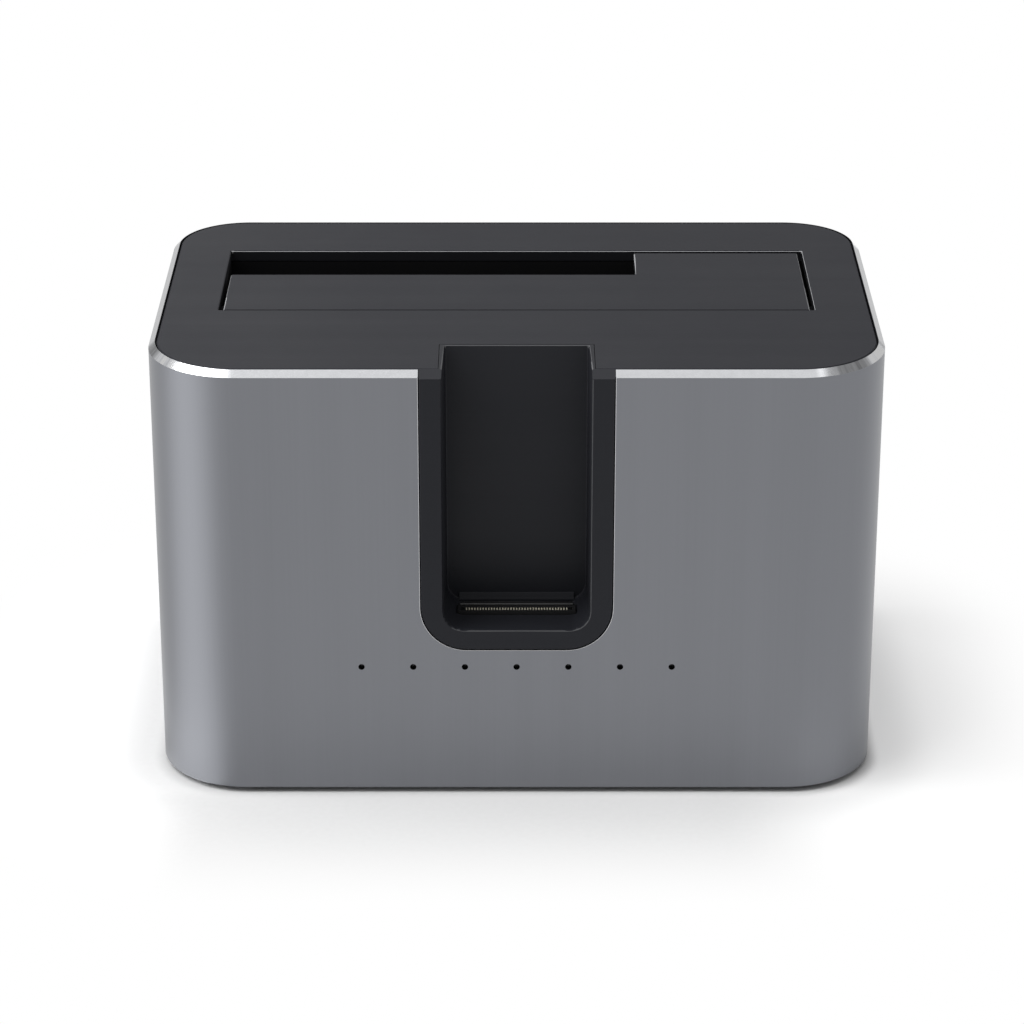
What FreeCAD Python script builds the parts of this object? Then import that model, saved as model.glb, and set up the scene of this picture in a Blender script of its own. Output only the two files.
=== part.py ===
import FreeCAD, Part

import math
import os

Vector = FreeCAD.Vector

# Hard drive dock: a top slot for a 3.5 or a 2.5 inch drive under a sprung flap, and a front bay
# for an M.2 module. Sizes are in millimetres. X is to the right, Y to the back and Z up, and the
# origin is on the table under the middle of the dock.

# Drives that stand in the slot, and the room round them
drive_3_5_width = 101.6
drive_3_5_thickness = 26.1
drive_2_5_width = 69.85
drive_2_5_thickness = 12.5
drive_side_gap = 3.05
guide_gap = 0.6
opening_gap = 0.3
sata_inset = 30.12
sata_face_offset = 3.5

# Sleeve, an aluminium extrusion that stands on end, as far round the slot as the margins say
side_margin = 11.15
front_margin = 31.15
back_margin = 17.8
front_corner = 16.3
back_corner = 13.7
sleeve_wall = 2.4
rim_chamfer = 1.13
rim_land = 0.05
foot_edge_chamfer = 0.3
cutout_chamfer = 0.12

# Plates that close the sleeve at both ends
cover_thickness = 2.0
cover_gap = 0.3
cover_edge = 0.2
skirt_depth = 4.0
skirt_wall = 1.2
skirt_gap = 0.2
base_thickness = 2.0
base_recess = 0.3
vent_count = 9
vent_pitch = 5.0
vent_width = 2.0
vent_length = 20.0
vent_corner = 0.9

# Rubber feet
foot_stand = 0.8
foot_radius = 6.0
foot_thickness = 1.7
foot_edge = 0.3
foot_gap = 0.2
foot_to_screw = 1.0
foot_inset = 15.0

# Well that guides the drives
well_depth = 57.6
well_stand = 23.2
well_wall = 1.8
well_rim_gap = 0.2
lead_in = 2.6
lead_in_drop = 3.4
rib_width = 2.0
rib_lead = 4.0
rib_inset = 4.0
leg_radius = 3.0
leg_bite = 1.5
leg_top_gap = 2.0

# Flap over the slot and its hinge
flap_thickness = 2.2
flap_side_gap = 0.95
flap_tab_gap = 1.35
flap_seam = 0.12
flap_corner = 0.5
flap_edge = 0.2
flap_rib = 0.8
flap_rib_inset = 6.0
flap_rib_end = 2.0
hinge_drop = 4.2
flap_swing_gap = 1.65
pin_radius = 0.8
pin_running_gap = 0.05
knuckle_radius = 1.7
lug_width = 4.0
knuckle_width = 5.6
hinge_side_gap = 0.4
ear_reach = 1.15
ear_root = 1.5
ear_length = 4.0
ear_height = 2.0
ear_stop_gap = 0.1
ear_side_gap = 0.6
ear_offset = 3.6
swing_gap = 1.0

# Torsion spring on the hinge pin
spring_wire = 0.6
spring_turns = 5
spring_gap = 0.25
spring_crest = 0.4
spring_flap_reach = 7.0
spring_cover_gap = 0.3

# M.2 socket
m2_contact_pitch = 0.5
m2_contact_count = 37
m2_contact_width = 0.24
m2_contact_thickness = 0.25
m2_contact_rise = 0.1
m2_contact_drop = 0.15
m2_slot_end = 1.0
m2_slot_width = 1.2
m2_slot_depth = 5.0
m2_end_wall = 0.6
m2_front_wall = 0.4
m2_depth = 3.0
m2_front_inset = 6.75
m2_stand = 0.75
m2_lip_depth = 0.9
m2_lip_height = 0.42
m2_lip_inset = 0.5
m2_lip_edge = 0.15
m2_key_offset = 6.1
m2_key_width = 1.0
m2_key_drop = 1.0
m2_foot_radius = 1.6
m2_foot_gap = 0.3
socket_gap = 0.2

# Bay for the M.2 module
bay_side_gap = 2.45
bay_depth = 13.0
bay_step = 8.4
bay_corner = 3.6
bay_back_corner = 0.3
bay_draft = 0.4
bay_wall = 1.6
bay_lip = 0.5
bay_edge = 0.2
bezel_band = 3.95
bezel_sill = 3.8
bezel_corner = 8.2
bezel_gap = 0.1
bezel_chamfer = 1.35
bezel_land = 0.05
flange_lip = 2.0
flange_thickness = 1.6
notch_gap = 0.1
ledge_inset = 0.25
ledge_heights = (1.6, 0.7)
ledge_depths = (0.35, 0.8)

# Lights behind the pin holes
led_drop = 3.39
led_pitch = 9.23
led_count = 7
led_hole_radius = 0.57
led_height = 1.2
led_depth = 1.5
led_width = 2.8
led_overhang = 0.6
guide_pin_gap = 0.06
guide_recess = 1.0
guide_bar_depth = 1.5
guide_bar_height = 1.5
guide_to_led = 0.25
guide_end = 5.0
guide_foot_width = 2.0
guide_foot_reach = 1.5

# Circuit boards and what stands on them
board_thickness = 1.6
board_drop = 6.4
board_corner = 4.0
board_edge_gap = 0.35
leg_to_board = 0.8
front_board_margin = 8.31
board_overlap = 7.5
board_to_well = 2.5
post_radius = 3.0
post_inset = 4.5
post_to_board = 3.0
link_length = 25.0
link_depth = 5.0
chip_height = 1.0
bridge_chip_size = 10.0
clone_chip_size = 9.0
inductor_size = 7.0
inductor_inset = 13.35
crystal_length = 11.0
crystal_width = 4.6
under_well_gap = 1.1
can_radius = 3.15
can_height = 7.7
can_edge = 0.4
can_to_button = 10.0

# SATA socket
sata_length = 42.0
sata_depth = 6.0
sata_stand = 5.0
sata_edge = 0.6
sata_pitch = 1.27
sata_power_count = 15
sata_signal_count = 7
sata_row_gap = 6.35
sata_slot_width = 2.4
sata_slot_depth = 6.0
sata_end = 1.2
sata_contact_width = 0.8
sata_contact_thickness = 0.3
sata_contact_drop = 1.2

# Rear port panel
window_to_corner = 6.3
window_below_board = 1.4
window_above_jack = 3.0
window_corner = 3.0
panel_gap = 0.15
panel_recess = 1.2
panel_flange = 1.4
panel_lip = 2.2
port_gap = 0.15

# USB socket
usb_width = 8.94
usb_height = 3.26
usb_length = 7.3
usb_wall = 0.3
usb_back_wall = 0.8
usb_set_back = 0.25
tongue_width = 6.7
tongue_thickness = 0.7
tongue_set_back = 0.8

# Power jack
jack_width = 9.0
jack_length = 11.0
jack_height = 11.0
jack_bore_radius = 3.15
jack_bore_depth = 9.0
jack_axis_height = 6.2
jack_pin_radius = 1.0
jack_pin_set_back = 0.9
jack_pin_tip = 0.5
jack_spring_width = 2.0
jack_spring_thickness = 0.3
jack_spring_rise = 0.25
jack_spring_set_back = 2.0

# Power switch
rocker_bezel_width = 15.0
rocker_bezel_height = 10.4
rocker_bezel_depth = 1.0
rocker_bezel_corner = 1.0
rocker_bezel_edge = 0.3
rocker_lip = 0.9
rocker_body_depth = 9.5
rocker_back_wall = 2.0
rocker_half_length = 5.0
rocker_play = 0.8
rocker_wall = 0.6
rocker_side_play = 0.3
rocker_pivot_depth = 2.4
rocker_crown = 2.9
rocker_dip = 2.4
rocker_waist = 0.4
rocker_keel = 4.0
rocker_swing = 16.0
trunnion_radius = 0.8
trunnion_gap = 0.06
trunnion_end_gap = 0.1
blade_width = 2.8
blade_thickness = 0.5
blade_length = 1.8
blade_offset = 3.5

# Clone switch and its button
clone_switch_size = 6.0
clone_switch_depth = 3.6
clone_stroke = 0.6
plunger_radius = 1.7
plunger_gap = 0.2
plunger_inside = 0.8
plunger_end_gap = 0.2
button_radius = 3.5
button_gap = 0.3
button_stand = 0.7
button_edge = 0.5
collar_lip = 0.7
collar_thickness = 0.85
collar_gap = 0.1
collar_to_board = 0.3
collar_to_switch = 0.4

# Screws and the bosses they enter
screw_radius = 1.2
screw_head_radius = 2.3
screw_head_height = 1.6
screw_head_gap = 0.3
screw_seat_thickness = 0.8
screw_length = 8.0
boss_radius = 2.2
boss_end = 1.5
boss_to_wall = 0.8
boss_to_flange = 3.5
boss_to_bay = 1.15
front_boss_x = 40.0
ear_thickness = 2.0
ear_drop = 13.6

# How far a cutter runs past a face, how far a piece runs into the one that carries it, how much
# rounder than its corners a full round end may not be, and how near an edge lies to its plane
past = 1.0
bite = 0.5
round_ease = 0.01
near = 0.01

# Levels and planes that several pieces share
slot_half = drive_3_5_width / 2 + drive_side_gap
sleeve_width = 2 * (slot_half + side_margin)
swing_room = hinge_drop + flap_swing_gap
sleeve_depth = front_margin + swing_room + drive_3_5_thickness + guide_gap + back_margin
front_y = -sleeve_depth / 2
back_y = sleeve_depth / 2
inner_front = front_y + sleeve_wall
inner_back = back_y - sleeve_wall
inner_side = sleeve_width / 2 - sleeve_wall
rim = rim_chamfer + rim_land
bezel_rim = bezel_chamfer + bezel_land

sleeve_bottom = foot_stand
well_floor = sleeve_bottom + well_stand
well_under = well_floor - well_wall
top_z = well_floor + well_depth
cover_under = top_z - cover_thickness
base_under = sleeve_bottom + base_recess
base_top = base_under + base_thickness

slot_back = back_y - back_margin
drive_left = -drive_3_5_width / 2
drive_back = slot_back - guide_gap
drive_front = drive_back - drive_3_5_thickness
opening_right = drive_left + drive_2_5_width + drive_side_gap
opening_front = drive_back - drive_2_5_thickness - opening_gap
hinge_y = drive_front - swing_room
hinge_z = top_z - hinge_drop
flap_half = slot_half - flap_side_gap
tab_back = slot_back - flap_tab_gap
flap_reach = tab_back - hinge_y

well_front = drive_front - guide_gap
well_top = cover_under - well_rim_gap
well_side = slot_half + well_wall
recess_front = hinge_y - knuckle_radius - swing_gap
recess_floor = hinge_z - flap_reach - swing_gap
rib_top = recess_floor - swing_gap
pocket_half = slot_half + ear_reach + ear_side_gap
pocket_radius = math.hypot(ear_offset + ear_length, ear_height) + swing_gap

m2_slot_length = (m2_contact_count - 1) * m2_contact_pitch + 2 * m2_slot_end
m2_width = m2_slot_length + 2 * m2_end_wall
bay_half_width = m2_width / 2 + bay_side_gap
ledge_half_width = m2_width / 2 - ledge_inset
bay_back = front_y + bay_depth
bay_floor = well_floor + bay_step
lip_half_width = bay_half_width + bay_lip
lip_back = bay_back + bay_lip
bezel_half = bay_half_width + bezel_band
bezel_bottom = bay_floor - bezel_sill
led_z = bezel_bottom - led_drop
led_back = inner_front + guide_bar_depth + guide_to_led + led_depth
m2_front = front_y + m2_front_inset
m2_top = bay_floor + m2_stand
m2_slot_y = m2_front + m2_front_wall + m2_slot_width / 2

leg_x = well_side + leg_radius - leg_bite
leg_ys = (well_front + leg_radius, drive_back - leg_bite)
side_boss_x = (well_side + inner_side) / 2
side_boss_y = (leg_ys[0] + leg_ys[1]) / 2
front_boss_y = recess_front - well_wall - boss_radius - boss_to_wall
bay_boss_x = bay_half_width + bay_wall + boss_radius + boss_to_bay
bay_boss_y = inner_front + flange_thickness + boss_radius + boss_to_flange
ear_top = cover_under - ear_drop
foot_x = leg_x - screw_head_radius - foot_to_screw - foot_gap - foot_radius
foot_y = back_y - foot_inset

main_board_top = well_floor - board_drop
main_board_under = main_board_top - board_thickness
front_board_top = led_z - led_height / 2
front_board_under = front_board_top - board_thickness
front_board_back = well_front - well_wall - board_to_well
main_board_front = front_board_back - board_overlap
main_board_back = inner_back - panel_flange - board_edge_gap
main_board_half_width = leg_x - leg_radius - leg_to_board
front_board_half_width = (led_count - 1) / 2 * led_pitch + front_board_margin
main_post_x = main_board_half_width - post_inset
main_post_ys = (main_board_front + post_inset, main_board_back - post_inset)
front_post_x = front_board_half_width - post_inset
front_post_y = main_board_front - post_radius - post_to_board
sata_x = drive_left + sata_inset
sata_y = drive_back - sata_face_offset
sata_top = well_floor + sata_stand
inductor_x = main_board_half_width - inductor_inset
under_well_y = (well_front + drive_back) / 2
under_well_height = board_drop - well_wall - under_well_gap

panel_back = inner_back - panel_flange
panel_face = back_y - panel_recess
window_width = 2 * (inner_side - back_corner + sleeve_wall - window_to_corner)
window_bottom = main_board_under - window_below_board
window_top = main_board_top + jack_height + window_above_jack
window_height = window_top - window_bottom
window_z = (window_bottom + window_top) / 2
port_widths = (2 * button_radius, usb_width, jack_width, rocker_bezel_width)
port_space = (window_width - sum(port_widths)) / (len(port_widths) + 1)
port_xs = [
    sum(port_widths[:i]) + port_widths[i] / 2 + (i + 1) * port_space - window_width / 2
    for i in range(len(port_widths))
]
clone_x, usb_x, jack_x, rocker_x = port_xs
usb_z = main_board_top + usb_height / 2
jack_z = main_board_top + jack_axis_height
clone_z = main_board_top + collar_to_board + collar_lip + button_gap + button_radius
collar_back = panel_back - collar_gap - collar_thickness
clone_switch_face = collar_back - clone_stroke - collar_to_switch
rocker_body_half_width = rocker_bezel_width / 2 - rocker_lip
rocker_body_half_height = rocker_bezel_height / 2 - rocker_lip
rocker_pivot = Vector(rocker_x, panel_face - rocker_pivot_depth, window_z)


def box(x0, x1, y0, y1, z0, z1):
    """Return the block between two corners."""
    return Part.makeBox(x1 - x0, y1 - y0, z1 - z0, Vector(x0, y0, z0))


def rod(radius, start, end):
    """Return a round bar from start to end."""
    along = Vector(*end) - Vector(*start)
    return Part.makeCylinder(radius, along.Length, Vector(*start), along)


def fuse_all(shapes):
    """Return one solid, or one group of separate solids, with its seams removed."""
    whole = shapes[0]
    for shape in shapes[1:]:
        whole = whole.fuse(shape)
    return whole.removeSplitter()


def outline_face(points):
    """Return the flat face inside the closed outline through points."""
    corners = [Vector(*point) for point in points]
    return Part.Face(Part.makePolygon(corners + corners[:1]))


def prism(points, along):
    """Return the closed outline through points, extruded by the vector along."""
    return outline_face(points).extrude(Vector(*along))


def side_face(profile, x):
    """Return the face inside a profile of (y, z) points, at the plane x."""
    return outline_face([(x, y, z) for y, z in profile])


def side_prism(profile, x0, x1):
    """Return a profile of (y, z) points extruded from x0 to x1."""
    return side_face(profile, x0).extrude(Vector(x1 - x0, 0, 0))


def sleeve_block(inset, z0, z1):
    """Return an upright block with the sleeve's outline, moved in by inset all round."""
    half = sleeve_width / 2 - inset
    low = front_y + inset
    high = back_y - inset
    block = box(-half, half, low, high, z0, z1)
    for radius, y in ((front_corner, low), (back_corner, high)):
        upright = [
            edge
            for edge in block.Edges
            if edge.BoundBox.ZLength > (z1 - z0) / 2 and abs(edge.BoundBox.YMin - y) < near
        ]
        block = block.makeFillet(radius - inset, upright)
    return block


def edges_at_level(shape, z):
    """Return the edges of shape that lie in the level plane z."""
    return [
        edge
        for edge in shape.Edges
        if abs(edge.BoundBox.ZMin - z) < near and abs(edge.BoundBox.ZMax - z) < near
    ]


def edges_at_plane_y(shape, y):
    """Return the edges of shape that lie in the upright plane y."""
    return [
        edge
        for edge in shape.Edges
        if abs(edge.BoundBox.YMin - y) < near and abs(edge.BoundBox.YMax - y) < near
    ]


def u_wire(half_width, bottom, top, radius, y):
    """Return the outline of a U in the plane y: open corners above, rounded corners below."""
    turn = radius * math.sqrt(0.5)
    left = Vector(-half_width + radius, y, bottom + radius)
    right = Vector(half_width - radius, y, bottom + radius)
    start = Vector(-half_width, y, bottom + radius)
    low_left = Vector(-half_width + radius, y, bottom)
    low_right = Vector(half_width - radius, y, bottom)
    end = Vector(half_width, y, bottom + radius)
    top_right = Vector(half_width, y, top)
    top_left = Vector(-half_width, y, top)
    edges = [
        Part.Arc(start, left + Vector(-turn, 0, -turn), low_left).toShape(),
        Part.makeLine(low_left, low_right),
        Part.Arc(low_right, right + Vector(turn, 0, -turn), end).toShape(),
        Part.makeLine(end, top_right),
        Part.makeLine(top_right, top_left),
        Part.makeLine(top_left, start),
    ]
    return Part.Wire(edges)


def u_block(half_width, bottom, top, radius, y0, y1):
    """Return a block seen from the front as a U."""
    outline = u_wire(half_width, bottom, top, radius, y0)
    return Part.Face(outline).extrude(Vector(0, y1 - y0, 0))


def window_block(width, height, radius, x, z, y0, y1):
    """Return a block with rounded corners seen from the back, centred on x and z."""
    block = box(x - width / 2, x + width / 2, y0, y1, z - height / 2, z + height / 2)
    long_edges = [edge for edge in block.Edges if edge.BoundBox.YLength > (y1 - y0) / 2]
    return block.makeFillet(radius, long_edges)


def mirror_pair(shape):
    """Return the shape and its copy on the other side of the dock."""
    return [shape, shape.mirror(Vector(0, 0, 0), Vector(1, 0, 0))]


def screw_up(x, y, head_z):
    """Return a screw whose head faces down, with its seat at head_z."""
    head = rod(screw_head_radius, (x, y, head_z - screw_head_height), (x, y, head_z))
    return head.fuse(rod(screw_radius, (x, y, head_z), (x, y, head_z + screw_length)))


def screw_down(x, y, head_z):
    """Return a screw whose head faces up, with its seat at head_z."""
    screw = screw_up(x, y, head_z)
    return screw.rotate(Vector(x, y, head_z), Vector(1, 0, 0), 180)


def led_xs():
    """Return the place of each light across the front."""
    return [(i - (led_count - 1) / 2) * led_pitch for i in range(led_count)]


def cover_boss_places():
    """Return the places of the screws that hold the well and the bay to the top cover."""
    places = [(side_boss_x, side_boss_y), (front_boss_x, front_boss_y), (bay_boss_x, bay_boss_y)]
    return places + [(-x, y) for x, y in places]


def leg_places():
    """Return the places of the well's legs."""
    return [(side * leg_x, y) for side in (-1, 1) for y in leg_ys]


def main_post_places():
    """Return the places of the posts under the main board."""
    return [(side * main_post_x, y) for side in (-1, 1) for y in main_post_ys]


def front_post_places():
    """Return the places of the posts under the front board."""
    return [(side * front_post_x, front_post_y) for side in (-1, 1)]


def bay_hollow():
    """Return the space of the bay: a U from the front that narrows towards its back."""
    top = top_z + past
    outlines = [
        u_wire(bay_half_width, bay_floor, top, bay_corner, front_y),
        u_wire(bay_half_width - bay_draft, bay_floor, top, bay_corner, bay_back),
    ]
    space = Part.makeLoft(outlines, True, True)
    back_sides = [
        edge
        for edge in edges_at_plane_y(space, bay_back)
        if edge.BoundBox.ZLength > bay_depth
    ]
    return space.makeFillet(bay_back_corner, back_sides)


def make_sleeve():
    """Return the extruded sleeve with its notch, pin holes and rear window."""
    shell = sleeve_block(0, sleeve_bottom, top_z)
    shell = shell.makeChamfer(rim_chamfer, edges_at_level(shell, top_z))
    shell = shell.makeChamfer(foot_edge_chamfer, edges_at_level(shell, sleeve_bottom))
    bore = sleeve_block(sleeve_wall, sleeve_bottom - past, top_z + past)
    top_rebate = sleeve_block(rim, cover_under, top_z + past)
    base_rebate = sleeve_block(rim, 0, base_top)
    notch = u_block(
        bezel_half + bezel_gap,
        bezel_bottom - bezel_gap,
        top_z + past,
        bezel_corner + bezel_gap,
        front_y - past,
        inner_front + past,
    )
    window = window_block(
        window_width,
        window_height,
        window_corner,
        0,
        window_z,
        inner_back - past,
        back_y + past,
    )
    shell = shell.cut(bore).cut(top_rebate).cut(base_rebate).cut(notch).cut(window)
    for x in led_xs():
        shell = shell.cut(
            rod(led_hole_radius, (x, front_y - past, led_z), (x, inner_front + past, led_z))
        )
    notch_edges = [
        edge
        for edge in shell.Edges
        if abs(edge.BoundBox.YMin - front_y) < near
        and abs(edge.BoundBox.YMax - front_y) < near
        and abs(edge.BoundBox.XMin) < bezel_half + past
        and abs(edge.BoundBox.XMax) < bezel_half + past
        and edge.BoundBox.ZMin > led_z + 2 * led_hole_radius
    ]
    return shell.makeChamfer(cutout_chamfer, notch_edges)


def hinge_lug(x):
    """Return one bearing of the hinge, hung from the cover in front of the seam."""
    barrel = rod(knuckle_radius, (x, hinge_y, hinge_z), (x + lug_width, hinge_y, hinge_z))
    root = box(
        x,
        x + lug_width,
        hinge_y - knuckle_radius,
        hinge_y - flap_seam,
        hinge_z,
        cover_under,
    )
    return barrel.fuse(root)


def lug_starts():
    """Return where each bearing of the cover starts across the hinge."""
    outer = flap_half - hinge_side_gap - lug_width
    return (-outer - lug_width, -lug_width / 2, outer)


def knuckle_starts():
    """Return where each knuckle of the flap starts, beside the bearings."""
    outer = flap_half - 2 * hinge_side_gap - lug_width - knuckle_width
    return (-outer - knuckle_width, lug_width / 2 + hinge_side_gap, outer)


def make_top_cover():
    """Return the top cover: plate, skirt, slot, bay notch, hinge bearings and screw bosses."""
    plate = sleeve_block(rim + cover_gap, cover_under, top_z)
    plate = plate.makeChamfer(cover_edge, edges_at_level(plate, top_z))
    skirt_inset = sleeve_wall + skirt_gap
    skirt_bottom = cover_under - skirt_depth
    skirt = sleeve_block(skirt_inset, skirt_bottom, cover_under)
    hollow = sleeve_block(skirt_inset + skirt_wall, skirt_bottom - past, cover_under)
    skirt_break = box(
        -bezel_half - flange_lip - past,
        bezel_half + flange_lip + past,
        front_y,
        bay_back,
        skirt_bottom - past,
        cover_under,
    )
    notch = box(
        -lip_half_width - notch_gap,
        lip_half_width + notch_gap,
        front_y,
        lip_back + notch_gap,
        cover_under,
        top_z + past,
    )
    slot = box(-slot_half, slot_half, hinge_y, slot_back, cover_under - past, top_z + past)
    slot = slot.makeFillet(
        flap_corner, [edge for edge in slot.Edges if edge.BoundBox.ZLength > cover_thickness]
    )
    plate = plate.cut(slot)
    slot_rim = [
        edge
        for edge in edges_at_level(plate, top_z)
        if edge.BoundBox.YMin > hinge_y + near
        and edge.BoundBox.YMax < slot_back + near
        and edge.BoundBox.XMax < slot_half + near
        and edge.BoundBox.XMin > -slot_half - near
    ]
    plate = plate.makeChamfer(cover_edge, slot_rim)
    pieces = [plate, skirt.cut(hollow).cut(skirt_break)]
    pieces += [hinge_lug(x) for x in lug_starts()]
    for x, y in cover_boss_places():
        pieces.append(rod(boss_radius, (x, y, ear_top), (x, y, cover_under)))
    cover = fuse_all(pieces).cut(notch)
    for x, y in cover_boss_places():
        cover = cover.cut(rod(screw_radius, (x, y, ear_top - past), (x, y, cover_under - boss_end)))
    return cover.cut(
        rod(pin_radius, (-flap_half, hinge_y, hinge_z), (flap_half, hinge_y, hinge_z))
    )


def make_drive_flap():
    """Return the L-shaped flap with its knuckles, stiffening ribs and stop ears."""
    front = hinge_y + flap_seam
    low = top_z - flap_thickness
    outline = [
        (-flap_half, front, low),
        (flap_half, front, low),
        (flap_half, tab_back, low),
        (opening_right, tab_back, low),
        (opening_right, opening_front, low),
        (-flap_half, opening_front, low),
    ]
    plate = prism(outline, (0, 0, flap_thickness))
    corners = [
        edge
        for edge in plate.Edges
        if edge.BoundBox.ZLength > flap_thickness / 2 and edge.BoundBox.YMin > front + flap_corner
    ]
    plate = plate.makeFillet(flap_corner, corners)
    swept_edges = [
        edge for edge in edges_at_level(plate, top_z) if edge.BoundBox.YMax > front + near
    ]
    plate = plate.makeChamfer(flap_edge, swept_edges)
    pieces = [plate]
    for start in knuckle_starts():
        end = start + knuckle_width
        barrel = rod(knuckle_radius, (start, hinge_y, hinge_z), (end, hinge_y, hinge_z))
        web = box(start, end, front, hinge_y + knuckle_radius, hinge_z, low)
        pieces.append(barrel.fuse(web))
    ear_top_z = cover_under - ear_stop_gap
    ear = box(
        flap_half - ear_root,
        slot_half + ear_reach,
        hinge_y + ear_offset,
        hinge_y + ear_offset + ear_length,
        ear_top_z - ear_height,
        ear_top_z,
    )
    pieces += mirror_pair(ear)
    rib_y = (hinge_y + opening_front) / 2
    pieces.append(
        box(
            -flap_half + flap_rib_inset,
            flap_half - flap_rib_inset,
            rib_y,
            rib_y + rib_width,
            low - flap_rib,
            low,
        )
    )
    rib_x = (opening_right + flap_half) / 2
    pieces.append(
        box(rib_x, rib_x + rib_width, rib_y, tab_back - flap_rib_end, low - flap_rib, low)
    )
    flap = fuse_all(pieces)
    return flap.cut(
        rod(
            pin_radius + pin_running_gap,
            (-flap_half, hinge_y, hinge_z),
            (flap_half, hinge_y, hinge_z),
        )
    )


def make_flap_hinge_pin():
    """Return the steel pin that runs through the bearings and knuckles."""
    half = flap_half - hinge_side_gap
    return rod(pin_radius, (-half, hinge_y, hinge_z), (half, hinge_y, hinge_z))


def make_flap_spring():
    """Return the torsion spring: a close coil round the pin and its two legs."""
    inner = hinge_z + pin_radius + spring_gap
    outer = inner + spring_wire
    shoulder = outer - spring_crest / 2
    start = -lug_width / 2 - hinge_side_gap - spring_turns * spring_wire
    end = start + spring_turns * spring_wire
    profile = [(end, hinge_y, inner), (start, hinge_y, inner)]
    for turn in range(spring_turns):
        left = start + turn * spring_wire
        middle = left + spring_wire / 2
        profile.append((left, hinge_y, shoulder))
        profile.append((middle, hinge_y, outer))
    profile.append((end, hinge_y, shoulder))
    coil = outline_face(profile).revolve(Vector(0, hinge_y, hinge_z), Vector(1, 0, 0), 360)
    wire = spring_wire / 2
    leg_level = inner + wire
    flap_leg = rod(
        wire,
        (end - wire, hinge_y, leg_level),
        (end - wire, hinge_y + spring_flap_reach, top_z - flap_thickness - wire),
    )
    cover_leg = rod(
        wire,
        (start + wire, hinge_y, leg_level),
        (start + wire, recess_front + spring_cover_gap, cover_under - wire),
    )
    return fuse_all([coil, flap_leg, cover_leg])


def make_drive_well():
    """Return the well: guide walls, flap recess, ribs, floor, fixing ears and legs."""
    profile = [
        (slot_back, well_floor),
        (slot_back, well_top + past),
        (recess_front, well_top + past),
        (recess_front, recess_floor),
        (well_front - lead_in, recess_floor),
        (well_front, recess_floor - lead_in_drop),
        (well_front, well_floor),
    ]
    hollow = side_prism(profile, -slot_half, slot_half)
    grown = side_face(profile, -well_side).makeOffset2D(well_wall, 2)
    below_rim = box(-well_side, well_side, front_y, back_y, well_under, well_top)
    walls = grown.extrude(Vector(2 * well_side, 0, 0)).common(below_rim)
    cheek_back = hinge_y + pocket_radius
    pocket_low = hinge_z - pocket_radius
    cheeks = box(
        -pocket_half - well_wall,
        pocket_half + well_wall,
        recess_front - well_wall,
        cheek_back + well_wall,
        pocket_low - well_wall,
        well_top,
    )
    pieces = [walls, cheeks]
    for x, y in leg_places():
        pieces.append(rod(leg_radius, (x, y, base_top), (x, y, pocket_low - well_wall - leg_top_gap)))
    side_ear = box(
        well_side - bite,
        side_boss_x + boss_radius,
        side_boss_y - boss_radius,
        side_boss_y + boss_radius,
        ear_top - ear_thickness,
        ear_top,
    )
    front_ear = box(
        front_boss_x - boss_radius,
        front_boss_x + boss_radius,
        front_boss_y - boss_radius,
        recess_front - well_wall + bite,
        ear_top - ear_thickness,
        ear_top,
    )
    pieces += mirror_pair(side_ear) + mirror_pair(front_ear)
    well = fuse_all(pieces).cut(hollow)
    well = well.cut(
        box(-pocket_half, pocket_half, recess_front, cheek_back, pocket_low, well_top + past)
    )
    rib_reach = drive_3_5_width / 2 + guide_gap
    rib_profile = [
        (-slot_half - bite, well_floor - bite),
        (-rib_reach, well_floor - bite),
        (-rib_reach, rib_top - rib_lead),
        (-slot_half - bite, rib_top),
    ]
    ribs = []
    for y in (well_front + rib_inset, drive_back - rib_inset - rib_width):
        rib = prism([(x, y, z) for x, z in rib_profile], (0, rib_width, 0))
        ribs += mirror_pair(rib)
    well = fuse_all([well] + ribs)
    well = well.cut(
        box(
            sata_x - sata_length / 2 - socket_gap,
            sata_x + sata_length / 2 + socket_gap,
            sata_y - sata_depth / 2 - socket_gap,
            sata_y + sata_depth / 2 + socket_gap,
            well_under - past,
            well_floor + past,
        )
    )
    for x, y in leg_places():
        well = well.cut(rod(screw_radius, (x, y, base_top - past), (x, y, base_top + screw_length)))
    for x, y in cover_boss_places():
        well = well.cut(
            rod(screw_radius, (x, y, ear_top - ear_thickness - past), (x, y, ear_top + past))
        )
    return well


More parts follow.
